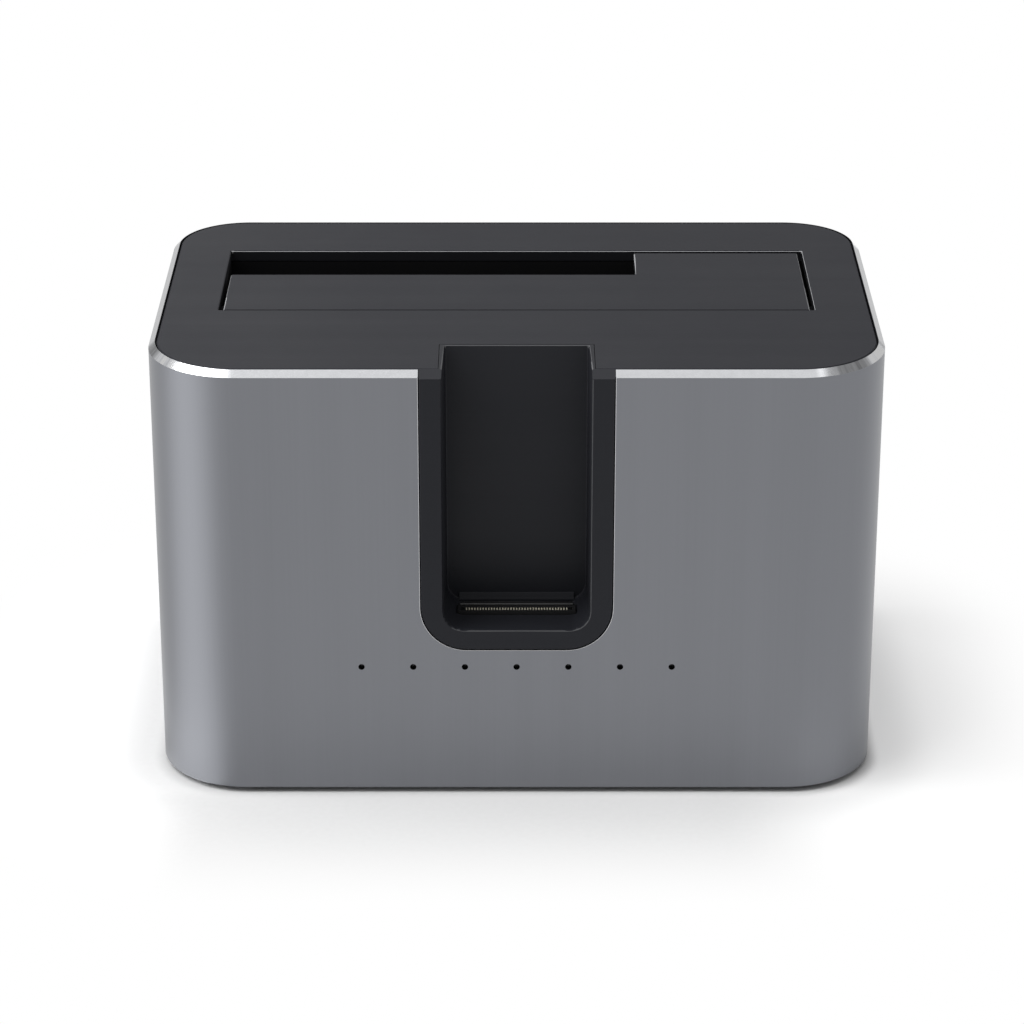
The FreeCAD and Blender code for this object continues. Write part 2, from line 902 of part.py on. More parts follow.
def make_m2_bay_housing():
    """Return the bay housing: bezel in the notch, flange behind it, trough, ears and feet."""
    plug = u_block(bezel_half, bezel_bottom, top_z, bezel_corner, front_y, inner_front)
    flange = u_block(
        bezel_half + flange_lip,
        bezel_bottom - flange_lip,
        cover_under,
        bezel_corner + flange_lip,
        inner_front,
        inner_front + flange_thickness,
    )
    trough = u_block(
        bay_half_width + bay_wall,
        bay_floor - bay_wall,
        cover_under,
        bay_corner + bay_wall,
        inner_front,
        bay_back + bay_wall,
    )
    ear = box(
        bay_half_width + bay_wall - bite,
        bay_boss_x + boss_radius,
        bay_boss_y - boss_radius,
        bay_boss_y + boss_radius,
        ear_top - ear_thickness,
        ear_top,
    )
    foot_place = m2_width / 2 + m2_foot_gap + m2_foot_radius
    foot = rod(
        m2_foot_radius,
        (foot_place, m2_front + m2_depth / 2, front_board_top),
        (foot_place, m2_front + m2_depth / 2, bay_floor - bay_wall / 2),
    )
    behind_band = box(
        -sleeve_width, sleeve_width, front_y + bezel_rim, 0, cover_under, top_z + past
    )
    lip = box(-lip_half_width, lip_half_width, front_y, lip_back, cover_under - bite, top_z)
    chamfer_line = [
        (front_y - past, top_z - bezel_chamfer - past),
        (front_y + bezel_chamfer + past, top_z + past),
        (front_y - past, top_z + past),
    ]
    moulding = fuse_all([plug, flange, trough] + mirror_pair(ear) + mirror_pair(foot))
    housing = fuse_all([moulding.cut(behind_band), lip]).cut(bay_hollow())
    housing = housing.cut(side_prism(chamfer_line, -sleeve_width, sleeve_width))
    mouth_edges = [
        edge
        for edge in edges_at_plane_y(housing, front_y) + edges_at_level(housing, top_z)
        if max(abs(edge.BoundBox.XMin), abs(edge.BoundBox.XMax)) < bay_half_width + near
        and edge.BoundBox.YMax < bay_back + near
    ]
    housing = housing.makeChamfer(bay_edge, mouth_edges)
    ledges = [
        box(
            -ledge_half_width,
            ledge_half_width,
            bay_back - depth,
            bay_back + bite,
            bay_floor - bite,
            bay_floor + height,
        )
        for height, depth in zip(ledge_heights, ledge_depths)
    ]
    housing = fuse_all([housing] + ledges)
    housing = housing.cut(
        box(
            -m2_width / 2 - socket_gap,
            m2_width / 2 + socket_gap,
            m2_front - socket_gap,
            m2_front + m2_depth + socket_gap,
            bay_floor - bay_wall - past,
            bay_floor + past,
        )
    )
    for x, y in cover_boss_places():
        housing = housing.cut(
            rod(screw_radius, (x, y, ear_top - ear_thickness - past), (x, y, ear_top + past))
        )
    return housing


def make_base_plate():
    """Return the base plate with its foot recesses, vents, screw holes and board posts."""
    plate = sleeve_block(rim + cover_gap, base_under, base_top)
    posts = [
        rod(post_radius, (x, y, base_top), (x, y, main_board_under))
        for x, y in main_post_places()
    ]
    posts += [
        rod(post_radius, (x, y, base_top), (x, y, front_board_under))
        for x, y in front_post_places()
    ]
    plate = fuse_all([plate] + posts)
    for x in (-foot_x, foot_x):
        for y in (-foot_y, foot_y):
            recess = rod(foot_radius + foot_gap, (x, y, 0), (x, y, foot_thickness))
            plate = plate.cut(recess)
    for i in range(vent_count):
        x = (i - (vent_count - 1) / 2) * vent_pitch
        slot = box(
            x - vent_width / 2,
            x + vent_width / 2,
            -vent_length / 2,
            vent_length / 2,
            0,
            base_top + past,
        )
        upright = [edge for edge in slot.Edges if edge.BoundBox.ZLength > base_thickness]
        plate = plate.cut(slot.makeChamfer(vent_corner, upright))
    for x, y in leg_places():
        plate = plate.cut(rod(screw_radius, (x, y, 0), (x, y, base_top + past)))
        plate = plate.cut(
            rod(screw_head_radius + screw_head_gap, (x, y, 0), (x, y, base_screw_seat()))
        )
    for x, y in main_post_places():
        plate = plate.cut(
            rod(screw_radius, (x, y, main_board_top - screw_length), (x, y, main_board_top))
        )
    for x, y in front_post_places():
        plate = plate.cut(
            rod(screw_radius, (x, y, front_board_top - screw_length), (x, y, front_board_top))
        )
    return plate


def base_screw_seat():
    """Return the level that the heads of the base screws bear on."""
    return base_top - screw_seat_thickness


def make_rubber_foot(x, y):
    """Return one rubber foot, set into the base plate."""
    foot = rod(foot_radius, (x, y, 0), (x, y, foot_thickness))
    return foot.makeChamfer(foot_edge, edges_at_level(foot, 0))


def make_base_screws():
    """Return the screws that hold the base plate to the well's legs."""
    return Part.makeCompound([screw_up(x, y, base_screw_seat()) for x, y in leg_places()])


def make_cover_screws():
    """Return the screws that hold the well and the bay housing to the cover."""
    seat = ear_top - ear_thickness
    return Part.makeCompound([screw_up(x, y, seat) for x, y in cover_boss_places()])


def make_board_screws():
    """Return the screws that hold both boards to the posts."""
    screws = [screw_down(x, y, main_board_top) for x, y in main_post_places()]
    screws += [screw_down(x, y, front_board_top) for x, y in front_post_places()]
    return Part.makeCompound(screws)


def board(half_width, y0, y1, z0, z1, holes):
    """Return a circuit board with round corners and screw holes."""
    slab = box(-half_width, half_width, y0, y1, z0, z1)
    upright = [edge for edge in slab.Edges if edge.BoundBox.ZLength > board_thickness / 2]
    slab = slab.makeFillet(board_corner, upright)
    for x, y in holes:
        slab = slab.cut(rod(screw_radius, (x, y, z0 - past), (x, y, z1 + past)))
    return slab


def make_main_board():
    """Return the main board under the well."""
    return board(
        main_board_half_width,
        main_board_front,
        main_board_back,
        main_board_under,
        main_board_top,
        main_post_places(),
    )


def make_front_board():
    """Return the front board under the bay."""
    return board(
        front_board_half_width,
        led_back - led_depth + led_overhang,
        front_board_back,
        front_board_under,
        front_board_top,
        front_post_places(),
    )


def make_board_link():
    """Return the header that joins the two boards."""
    middle = (main_board_front + front_board_back) / 2
    return box(
        -link_length / 2,
        link_length / 2,
        middle - link_depth / 2,
        middle + link_depth / 2,
        main_board_top,
        front_board_under,
    )


def sata_rows():
    """Return each contact row of the SATA socket: its first contact's place and its count."""
    span = (sata_power_count + sata_signal_count - 2) * sata_pitch + sata_row_gap
    start = sata_x - span / 2
    signal = start + (sata_power_count - 1) * sata_pitch + sata_row_gap
    return ((start, sata_power_count), (signal, sata_signal_count))


def make_sata_socket():
    """Return the SATA socket: two L-shaped slots with leads in between end guides."""
    body = box(
        sata_x - sata_length / 2,
        sata_x + sata_length / 2,
        sata_y - sata_depth / 2,
        sata_y + sata_depth / 2,
        main_board_top,
        sata_top,
    )
    body = body.makeChamfer(sata_edge, edges_at_level(body, sata_top))
    for start, count in sata_rows():
        left = start - sata_end
        right = start + (count - 1) * sata_pitch + sata_end
        slot = box(
            left,
            right,
            sata_y - sata_slot_width / 2,
            sata_y + sata_slot_width / 2,
            sata_top - sata_slot_depth,
            sata_top + past,
        )
        key = box(
            right - sata_end,
            right,
            sata_y - sata_slot_width,
            sata_y,
            sata_top - sata_slot_depth,
            sata_top + past,
        )
        body = body.cut(slot).cut(key)
    return body


def make_sata_contacts():
    """Return the contact blades of the SATA socket, one against the back of its slot each."""
    face = sata_y + sata_slot_width / 2
    blades = []
    for start, count in sata_rows():
        for i in range(count):
            x = start + i * sata_pitch
            blades.append(
                box(
                    x - sata_contact_width / 2,
                    x + sata_contact_width / 2,
                    face - sata_contact_thickness,
                    face,
                    sata_top - sata_slot_depth,
                    sata_top - sata_contact_drop,
                )
            )
    return Part.makeCompound(blades)


def make_m2_socket():
    """Return the upright M.2 socket: slot, key and a raised back wall."""
    half = m2_width / 2
    body = box(-half, half, m2_front, m2_front + m2_depth, front_board_top, m2_top)
    lip_front = m2_front + m2_depth - m2_lip_depth
    lip_top = m2_top + m2_lip_height
    lip = box(
        -half + m2_lip_inset,
        half - m2_lip_inset,
        lip_front,
        m2_front + m2_depth,
        m2_top - bite,
        lip_top,
    )
    crest = [edge for edge in edges_at_level(lip, lip_top) if edge.BoundBox.YMax < lip_front + near]
    body = fuse_all([body, lip.makeChamfer(m2_lip_edge, crest)])
    slot = box(
        -m2_slot_length / 2,
        m2_slot_length / 2,
        m2_slot_y - m2_slot_width / 2,
        m2_slot_y + m2_slot_width / 2,
        m2_top - m2_slot_depth,
        m2_top + past,
    )
    key = box(
        m2_key_offset - m2_key_width / 2,
        m2_key_offset + m2_key_width / 2,
        m2_slot_y - m2_slot_width / 2 - bite,
        m2_slot_y + m2_slot_width / 2 + bite,
        m2_top - m2_slot_depth - bite,
        m2_top - m2_key_drop,
    )
    return fuse_all([body.cut(slot), key])


def make_m2_contacts():
    """Return the contacts along both walls of the M.2 slot. The front ones stand a little proud."""
    front = m2_slot_y - m2_slot_width / 2
    back = m2_slot_y + m2_slot_width / 2 - m2_contact_thickness
    blades = []
    for i in range(m2_contact_count):
        x = (i - (m2_contact_count - 1) / 2) * m2_contact_pitch
        if abs(x - m2_key_offset) < (m2_key_width + m2_contact_width) / 2:
            floor = m2_top - m2_key_drop
        else:
            floor = m2_top - m2_slot_depth
        for y, top in ((front, m2_top + m2_contact_rise), (back, m2_top - m2_contact_drop)):
            blades.append(
                box(
                    x - m2_contact_width / 2,
                    x + m2_contact_width / 2,
                    y,
                    y + m2_contact_thickness,
                    floor,
                    top,
                )
            )
    return Part.makeCompound(blades)


def make_led_chips():
    """Return the side-firing lights on the front edge of the front board."""
    chips = [
        box(
            x - led_width / 2,
            x + led_width / 2,
            led_back - led_depth,
            led_back,
            front_board_top,
            front_board_top + led_height,
        )
        for x in led_xs()
    ]
    return Part.makeCompound(chips)


def make_light_guide():
    """Return the clear bar with one pin for each hole, standing on the front board."""
    half = led_xs()[-1] + guide_end
    low = led_z - led_height / 2
    bar = box(
        -half, half, inner_front, inner_front + guide_bar_depth, low, low + guide_bar_height
    )
    foot = box(
        half - guide_foot_width,
        half,
        inner_front,
        led_back + guide_foot_reach,
        low,
        low + guide_bar_height,
    )
    pins = [
        rod(
            led_hole_radius - guide_pin_gap,
            (x, front_y + guide_recess, led_z),
            (x, inner_front + bite, led_z),
        )
        for x in led_xs()
    ]
    return fuse_all([bar] + mirror_pair(foot) + pins)


def make_port_panel():
    """Return the rear panel: a plug in the window, a flange behind it and the port holes."""
    plug = window_block(
        window_width - 2 * panel_gap,
        window_height - 2 * panel_gap,
        window_corner - panel_gap,
        0,
        window_z,
        panel_back,
        panel_face,
    )
    flange = window_block(
        window_width + 2 * panel_lip,
        window_height + 2 * panel_lip,
        window_corner + panel_lip,
        0,
        window_z,
        panel_back,
        inner_back,
    )
    panel = fuse_all([plug, flange])
    usb_hole = window_block(
        usb_width + 2 * port_gap,
        usb_height + 2 * port_gap,
        usb_height / 2 + port_gap - round_ease,
        usb_x,
        usb_z,
        panel_back - past,
        panel_face + past,
    )
    jack_hole = box(
        jack_x - jack_width / 2 - port_gap,
        jack_x + jack_width / 2 + port_gap,
        panel_back - past,
        panel_face + past,
        main_board_top - port_gap,
        main_board_top + jack_height + port_gap,
    )
    rocker_hole = box(
        rocker_x - rocker_body_half_width - port_gap,
        rocker_x + rocker_body_half_width + port_gap,
        panel_back - past,
        panel_face + past,
        window_z - rocker_body_half_height - port_gap,
        window_z + rocker_body_half_height + port_gap,
    )
    button_hole = rod(
        button_radius + button_gap, (clone_x, panel_back - past, clone_z), (clone_x, back_y, clone_z)
    )
    return panel.cut(usb_hole).cut(jack_hole).cut(rocker_hole).cut(button_hole)


def make_usb_c_shell():
    """Return the steel shell of the USB socket with a closed back."""
    mouth = panel_face - usb_set_back
    shell = window_block(
        usb_width, usb_height, usb_height / 2 - round_ease, usb_x, usb_z, mouth - usb_length, mouth
    )
    inside = window_block(
        usb_width - 2 * usb_wall,
        usb_height - 2 * usb_wall,
        usb_height / 2 - usb_wall - round_ease,
        usb_x,
        usb_z,
        mouth - usb_length + usb_back_wall,
        mouth + past,
    )
    return shell.cut(inside)


def make_usb_c_tongue():
    """Return the tongue that stands in the USB socket."""
    mouth = panel_face - usb_set_back
    return box(
        usb_x - tongue_width / 2,
        usb_x + tongue_width / 2,
        mouth - usb_length + usb_back_wall,
        mouth - tongue_set_back,
        usb_z - tongue_thickness / 2,
        usb_z + tongue_thickness / 2,
    )


def make_dc_jack_body():
    """Return the body of the power jack with its bore."""
    body = box(
        jack_x - jack_width / 2,
        jack_x + jack_width / 2,
        panel_face - jack_length,
        panel_face,
        main_board_top,
        main_board_top + jack_height,
    )
    bore = rod(
        jack_bore_radius, (jack_x, panel_face - jack_bore_depth, jack_z), (jack_x, back_y, jack_z)
    )
    return body.cut(bore)


def make_dc_jack_contacts():
    """Return the centre pin and the side spring of the power jack."""
    pin = rod(
        jack_pin_radius,
        (jack_x, panel_face - jack_bore_depth, jack_z),
        (jack_x, panel_face - jack_pin_set_back, jack_z),
    )
    pin = pin.makeChamfer(jack_pin_tip, edges_at_plane_y(pin, panel_face - jack_pin_set_back))
    spring_low = jack_z - jack_bore_radius + jack_spring_rise
    spring = box(
        jack_x - jack_spring_width / 2,
        jack_x + jack_spring_width / 2,
        panel_face - jack_bore_depth,
        panel_face - jack_spring_set_back,
        spring_low,
        spring_low + jack_spring_thickness,
    )
    return Part.makeCompound([pin, spring])


def make_power_switch_body():
    """Return the switch body: bezel on the panel, hollow box behind it and two blades."""
    bezel_face = panel_face + rocker_bezel_depth
    bezel = window_block(
        rocker_bezel_width,
        rocker_bezel_height,
        rocker_bezel_corner,
        rocker_x,
        window_z,
        panel_face,
        bezel_face,
    )
    bezel = bezel.makeChamfer(rocker_bezel_edge, edges_at_plane_y(bezel, bezel_face))
    body_back = panel_face - rocker_body_depth
    body = box(
        rocker_x - rocker_body_half_width,
        rocker_x + rocker_body_half_width,
        body_back,
        panel_face,
        window_z - rocker_body_half_height,
        window_z + rocker_body_half_height,
    )
    hollow = box(
        rocker_x - rocker_half_length - rocker_play,
        rocker_x + rocker_half_length + rocker_play,
        body_back + rocker_back_wall,
        bezel_face + past,
        window_z - rocker_body_half_height + rocker_wall,
        window_z + rocker_body_half_height - rocker_wall,
    )
    blades = [
        box(
            rocker_x + offset - blade_width / 2,
            rocker_x + offset + blade_width / 2,
            body_back - blade_length,
            body_back + bite,
            window_z - blade_thickness / 2,
            window_z + blade_thickness / 2,
        )
        for offset in (-blade_offset, blade_offset)
    ]
    hole = rod(
        trunnion_radius + trunnion_gap,
        rocker_pivot - Vector(0, 0, rocker_body_half_height + past),
        rocker_pivot + Vector(0, 0, rocker_body_half_height + past),
    )
    return fuse_all([bezel, body] + blades).cut(hollow).cut(hole)


def make_power_rocker():
    """Return the rocker with its trunnions, tipped to its off position."""
    half_thickness = rocker_body_half_height - rocker_wall - rocker_side_play
    half_trunnion = rocker_body_half_height - trunnion_end_gap
    low = rocker_pivot - Vector(0, 0, half_thickness)
    crown_left = low + Vector(-rocker_half_length, rocker_crown, 0)
    crown_right = low + Vector(rocker_half_length, rocker_crown, 0)
    waist_left = low + Vector(-rocker_half_length, rocker_waist, 0)
    waist_right = low + Vector(rocker_half_length, rocker_waist, 0)
    dip = low + Vector(0, rocker_dip, 0)
    keel = low - Vector(0, rocker_keel, 0)
    edges = [
        Part.Arc(crown_left, dip, crown_right).toShape(),
        Part.makeLine(crown_right, waist_right),
        Part.Arc(waist_right, keel, waist_left).toShape(),
        Part.makeLine(waist_left, crown_left),
    ]
    cap = Part.Face(Part.Wire(edges)).extrude(Vector(0, 0, 2 * half_thickness))
    trunnion = rod(
        trunnion_radius,
        rocker_pivot - Vector(0, 0, half_trunnion),
        rocker_pivot + Vector(0, 0, half_trunnion),
    )
    return fuse_all([cap, trunnion]).rotate(rocker_pivot, Vector(0, 0, 1), -rocker_swing / 2)


def make_clone_switch_body():
    """Return the body of the clone switch, standing on the main board."""
    half = clone_switch_size / 2
    body = box(
        clone_x - half,
        clone_x + half,
        clone_switch_face - clone_switch_depth,
        clone_switch_face,
        main_board_top,
        clone_z + half,
    )
    bore = rod(
        plunger_radius + plunger_gap,
        (clone_x, clone_switch_face - plunger_inside - clone_stroke - plunger_end_gap, clone_z),
        (clone_x, clone_switch_face + past, clone_z),
    )
    return body.cut(bore)


def make_clone_plunger():
    """Return the plunger between the clone switch and its button."""
    return rod(
        plunger_radius,
        (clone_x, clone_switch_face - plunger_inside, clone_z),
        (clone_x, collar_back, clone_z),
    )


def make_clone_button():
    """Return the round button with the collar that keeps it in the panel."""
    face = panel_face + button_stand
    cap = rod(button_radius, (clone_x, collar_back, clone_z), (clone_x, face, clone_z))
    cap = cap.makeChamfer(button_edge, edges_at_plane_y(cap, face))
    collar = rod(
        button_radius + button_gap + collar_lip,
        (clone_x, collar_back, clone_z),
        (clone_x, collar_back + collar_thickness, clone_z),
    )
    return fuse_all([cap, collar])


def chip(x, y, z, size, height):
    """Return a flat square chip on a board."""
    body = box(x - size / 2, x + size / 2, y - size / 2, y + size / 2, z, z + height)
    return body.makeChamfer(height / 3, edges_at_level(body, z + height))


def make_bridge_chip():
    """Return the bridge chip on the main board, between the SATA socket and the inductor."""
    x = (sata_x + sata_length / 2 + inductor_x - inductor_size / 2) / 2
    return chip(x, under_well_y, main_board_top, bridge_chip_size, chip_height)


def make_clone_chip():
    """Return the second controller on the front board, behind the bay."""
    y = (bay_back + front_board_back) / 2
    return chip(0, y, front_board_top, clone_chip_size, chip_height)


def make_power_inductor():
    """Return the moulded inductor on the main board."""
    return chip(inductor_x, under_well_y, main_board_top, inductor_size, under_well_height)


def make_capacitors():
    """Return the capacitors behind the well."""
    y = (slot_back + well_wall + panel_back) / 2
    top = main_board_top + can_height
    beside_usb = (usb_x - usb_width / 2 + clone_x + clone_switch_size / 2) / 2
    beside_jack = (jack_x + jack_width / 2 + rocker_x - rocker_body_half_width) / 2
    cans = []
    for x in (clone_x - can_to_button, beside_usb, beside_jack):
        can = rod(can_radius, (x, y, main_board_top), (x, y, top))
        cans.append(can.makeChamfer(can_edge, edges_at_level(can, top)))
    return Part.makeCompound(cans)


def make_crystal():
    """Return the crystal can on the main board, in front of the SATA socket."""
    middle = sata_x - sata_length / 4
    can = box(
        middle - crystal_length / 2,
        middle + crystal_length / 2,
        under_well_y - crystal_width / 2,
        under_well_y + crystal_width / 2,
        main_board_top,
        main_board_top + under_well_height,
    )
    upright = [edge for edge in can.Edges if edge.BoundBox.ZLength > under_well_height / 2]
    return can.makeFillet(crystal_width / 2 - round_ease, upright)


nodes = {
    "sleeve": make_sleeve(),
    "top_cover": make_top_cover(),
    "drive_flap": make_drive_flap(),
    "flap_hinge_pin": make_flap_hinge_pin(),
    "flap_spring": make_flap_spring(),
    "drive_well": make_drive_well(),
    "m2_bay_housing": make_m2_bay_housing(),
    "base_plate": make_base_plate(),
    "rubber_foot_front_left": make_rubber_foot(-foot_x, -foot_y),
    "rubber_foot_front_right": make_rubber_foot(foot_x, -foot_y),
    "rubber_foot_rear_left": make_rubber_foot(-foot_x, foot_y),
    "rubber_foot_rear_right": make_rubber_foot(foot_x, foot_y),
    "base_screws": make_base_screws(),
    "cover_screws": make_cover_screws(),
    "board_screws": make_board_screws(),
    "main_board": make_main_board(),
    "front_board": make_front_board(),
    "board_link": make_board_link(),
    "sata_socket": make_sata_socket(),
    "sata_contacts": make_sata_contacts(),
    "m2_socket": make_m2_socket(),
    "m2_contacts": make_m2_contacts(),
    "led_chips": make_led_chips(),
    "light_guide": make_light_guide(),
    "port_panel": make_port_panel(),
    "usb_c_shell": make_usb_c_shell(),
    "usb_c_tongue": make_usb_c_tongue(),
    "dc_jack_body": make_dc_jack_body(),
    "dc_jack_contacts": make_dc_jack_contacts(),
    "power_switch_body": make_power_switch_body(),
    "power_rocker": make_power_rocker(),
    "clone_switch_body": make_clone_switch_body(),
    "clone_plunger": make_clone_plunger(),
    "clone_button": make_clone_button(),
    "bridge_chip": make_bridge_chip(),
    "clone_chip": make_clone_chip(),
    "power_inductor": make_power_inductor(),
    "capacitors": make_capacitors(),
    "crystal": make_crystal(),
}

os.makedirs("parts", exist_ok=True)
for name, shape in nodes.items():
    shape.exportStep("parts/" + name + ".step")
    print(name, "valid", shape.isValid(), "solids", len(shape.Solids), "volume", round(shape.Volume, 2))
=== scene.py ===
import logging
import math
from dataclasses import dataclass
from enum import Enum
from typing import Callable, Iterable, Sequence

import bmesh
import bpy
from mathutils import Matrix, Vector


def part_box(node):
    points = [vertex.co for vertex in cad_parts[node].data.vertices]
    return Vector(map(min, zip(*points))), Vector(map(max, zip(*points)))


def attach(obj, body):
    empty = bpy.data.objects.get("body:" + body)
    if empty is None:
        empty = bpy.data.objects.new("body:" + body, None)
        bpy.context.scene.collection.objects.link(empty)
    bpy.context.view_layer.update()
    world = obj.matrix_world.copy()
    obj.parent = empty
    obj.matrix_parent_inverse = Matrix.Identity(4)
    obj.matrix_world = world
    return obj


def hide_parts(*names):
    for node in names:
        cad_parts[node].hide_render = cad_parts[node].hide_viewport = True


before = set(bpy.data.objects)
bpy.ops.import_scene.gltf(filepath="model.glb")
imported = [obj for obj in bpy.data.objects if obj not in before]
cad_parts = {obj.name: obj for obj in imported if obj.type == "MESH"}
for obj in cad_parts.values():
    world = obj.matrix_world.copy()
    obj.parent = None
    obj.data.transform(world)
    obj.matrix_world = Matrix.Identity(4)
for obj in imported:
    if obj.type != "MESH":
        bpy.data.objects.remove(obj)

log = logging.getLogger("drive_dock")
# NEAR is how far off a place may be and still count as level with another, MERGE is how far apart
# corners may be to become one, and FLAT is how straight a direction must lie along an axis.
MM = 0.001
NEAR = 0.01 * MM
MERGE = 0.002 * MM
FLAT = 0.99

Colour = tuple[float, float, float]
Point = tuple[float, float, float]
Socket = bpy.types.NodeSocket
Node = bpy.types.Node
NodeTree = bpy.types.NodeTree
Outputs = bpy.types.bpy_prop_collection
Material = bpy.types.Material
STEEL_TONE: Colour = (0.62, 0.62, 0.63)
GOLD_TONE: Colour = (0.86, 0.62, 0.25)


class Body(Enum):
    """The CAD bodies that a piece can ride on."""

    HOUSING = "housing"
    FLAP = "flap"
    ROCKER = "rocker"
    BUTTON = "button"


class Slot(Enum):
    """The record's material slots that finished pieces stand for."""

    SLEEVE = "sleeve_aluminium"
    COVER = "cover_plastic"
    FLAP = "flap_plastic"
    BAY = "bay_plastic"
    PANEL = "panel_plastic"
    BASE = "base_plastic"
    FOOT = "foot_rubber"
    STEEL = "steel"
    SPRING = "spring_steel"
    CONNECTOR = "connector_plastic"
    CONTACT = "contact_gold"
    CAN = "capacitor_can"
    ROCKER = "rocker_plastic"
    BUTTON = "button_plastic"


class Axis(Enum):
    """A direction of the dock, as an index into a point."""

    ACROSS = 0
    DEEP = 1
    UP = 2


class Tree:
    """A shader node tree, with short calls that add nodes and join them."""

    def __init__(self, tree: NodeTree) -> None:
        """Takes over an empty tree.

        Args:
            tree: The tree of a material or of a node group.
        """
        self.tree = tree
        self.count = 0
        self.parts: dict[str, Node] = {}

    def add(self, kind: str, **settings: object) -> Node:
        """Adds a node and sets its properties.

        Args:
            kind: The node's type name without its "ShaderNode" start.
            **settings: Properties of the node.

        Returns:
            The new node.
        """
        name = kind if kind.startswith("NodeGroup") else "ShaderNode" + kind
        node = self.tree.nodes.new(name)
        node.location = (220 * (self.count % 8), -260 * (self.count // 8))
        self.count += 1
        for key, value in settings.items():
            setattr(node, key, value)
        return node

    def join(self, source: Socket, target: Socket) -> None:
        """Links one socket to another."""
        self.tree.links.new(source, target)

    def feed(self, value: object, target: Socket) -> None:
        """Gives a socket a link or a plain value, whichever value is.

        Args:
            value: A socket or a plain value.
            target: The socket that takes it.
        """
        if isinstance(value, Socket):
            self.join(value, target)
        else:
            target.default_value = value

    def fed(self, kind: str, *values: object, **settings: object) -> Node:
        """Adds a node with its settings, and feeds its inputs in order.

        Args:
            kind: The node's type name without its "ShaderNode" start.
            *values: What the inputs take, sockets or plain values.
            **settings: Properties of the node.

        Returns:
            The new node.
        """
        node = self.add(kind, **settings)
        for value, socket in zip(values, node.inputs):
            self.feed(value, socket)
        return node

    def give(self, node: Node, **values: object) -> None:
        """Feeds a node's inputs by name, with underscores for the spaces in their names."""
        for key, value in values.items():
            self.feed(value, node.inputs[key.replace("_", " ")])

    def math(self, operation: str, a: object, b: object = 0.0, c: object = 0.0) -> Socket:
        """Adds a Math node.

        Args:
            operation: The operation's name in Blender.
            a: First input, a socket or a number.
            b: Second input, a socket or a number.
            c: Third input, a socket or a number.

        Returns:
            The node's output.
        """
        return self.fed("Math", a, b, c, operation=operation).outputs[0]

    def span(self, value: object, low: float, high: float, to_low: float = 0.0, to_high: float = 1.0,
             smooth: bool = False) -> Socket:
        """Maps a range of values to another, clamped at its ends.

        Args:
            value: The input socket.
            low: Start of the input's range.
            high: End of the input's range.
            to_low: What low becomes.
            to_high: What high becomes.
            smooth: Whether the step is smooth at its ends.

        Returns:
            The mapped value.
        """
        node = self.fed("MapRange", value, low, high, to_low, to_high,
                        interpolation_type="SMOOTHSTEP" if smooth else "LINEAR")
        return node.outputs["Result"]

    def mix(self, factor: object, a: object, b: object) -> Socket:
        """Mixes two colours.

        Args:
            factor: How much of the second colour, a socket or a number.
            a: First colour, a socket or four numbers.
            b: Second colour, a socket or four numbers.

        Returns:
            The mixed colour.
        """
        node = self.add("Mix", data_type="RGBA")
        self.feed(factor, node.inputs[0])
        self.feed(a, node.inputs[6])
        self.feed(b, node.inputs[7])
        return node.outputs[2]

    def place(self, scale: Point = (1.0, 1.0, 1.0)) -> Socket:
        """Adds Object coordinates, stretched by scale, in metres.

        Args:
            scale: Factor along each axis.

        Returns:
            The stretched coordinates.
        """
        mapping = self.fed("Mapping", self.add("TexCoord").outputs["Object"])
        self.give(mapping, Scale=scale)
        return mapping.outputs["Vector"]

    def noise(self, vector: Socket, scale: object, detail: float = 2.0,
              roughness: float = 0.5) -> Socket:
        """Adds a noise texture.

        Args:
            vector: Where the noise is read.
            scale: Size of the pattern, a socket or a number.
            detail: Octaves.
            roughness: Weight of the finer octaves.

        Returns:
            The noise's value.
        """
        node = self.add("TexNoise")
        self.give(node, Vector=vector, Scale=scale, Detail=detail, Roughness=roughness)
        return node.outputs["Fac"]

    def _part(self, output: str, axis: str) -> Socket:
        """Reads one part of a Texture Coordinate output.

        Args:
            output: The output's name.
            axis: X, Y or Z.

        Returns:
            The part's socket.
        """
        if output not in self.parts:
            self.parts[output] = self.fed("SeparateXYZ", self.add("TexCoord").outputs[output])
        return self.parts[output].outputs[axis]

    def at(self, axis: str) -> Socket:
        """Returns one of the point's coordinates, in metres."""
        return self._part("Object", axis)

    def way(self, axis: str) -> Socket:
        """Returns one part of the surface's direction."""
        return self._part("Normal", axis)

    def over(self, value: object, level: object) -> Socket:
        """Returns 1 where a value is over a level, or 0."""
        return self.math("GREATER_THAN", value, level)

    def under(self, value: object, level: object) -> Socket:
        """Returns 1 where a value is under a level, or 0."""
        return self.math("LESS_THAN", value, level)

    def plain(self, value: Socket) -> Socket:
        """Returns a value without its sign."""
        return self.math("ABSOLUTE", value)

    def line(self, value: object, slope: object, start: object) -> Socket:
        """Returns value times slope, plus start."""
        return self.math("MULTIPLY_ADD", value, slope, start)

    def product(self, *values: object) -> Socket:
        """Multiplies two or more values.

        Args:
            *values: Sockets or numbers.

        Returns:
            The product's socket.
        """
        result = values[0]
        for value in values[1:]:
            result = self.math("MULTIPLY", result, value)
        return result

    def between(self, factor: object, a: object, b: object) -> Socket:
        """Goes from one value to another as factor goes from 0 to 1."""
        return self.line(factor, self.math("SUBTRACT", b, a), a)

    def tone(self, shade: Socket, colour: Colour) -> Socket:
        """Scales a colour by a shade.

        Args:
            shade: The shade's socket.
            colour: The colour at a shade of 1.

        Returns:
            The scaled colour.
        """
        node = self.fed("VectorMath", colour, operation="SCALE")
        self.give(node, Scale=shade)
        return node.outputs[0]


def rgba(colour: Colour) -> tuple[float, float, float, float]:
    """Returns a colour with full alpha."""
    return (*colour, 1.0)


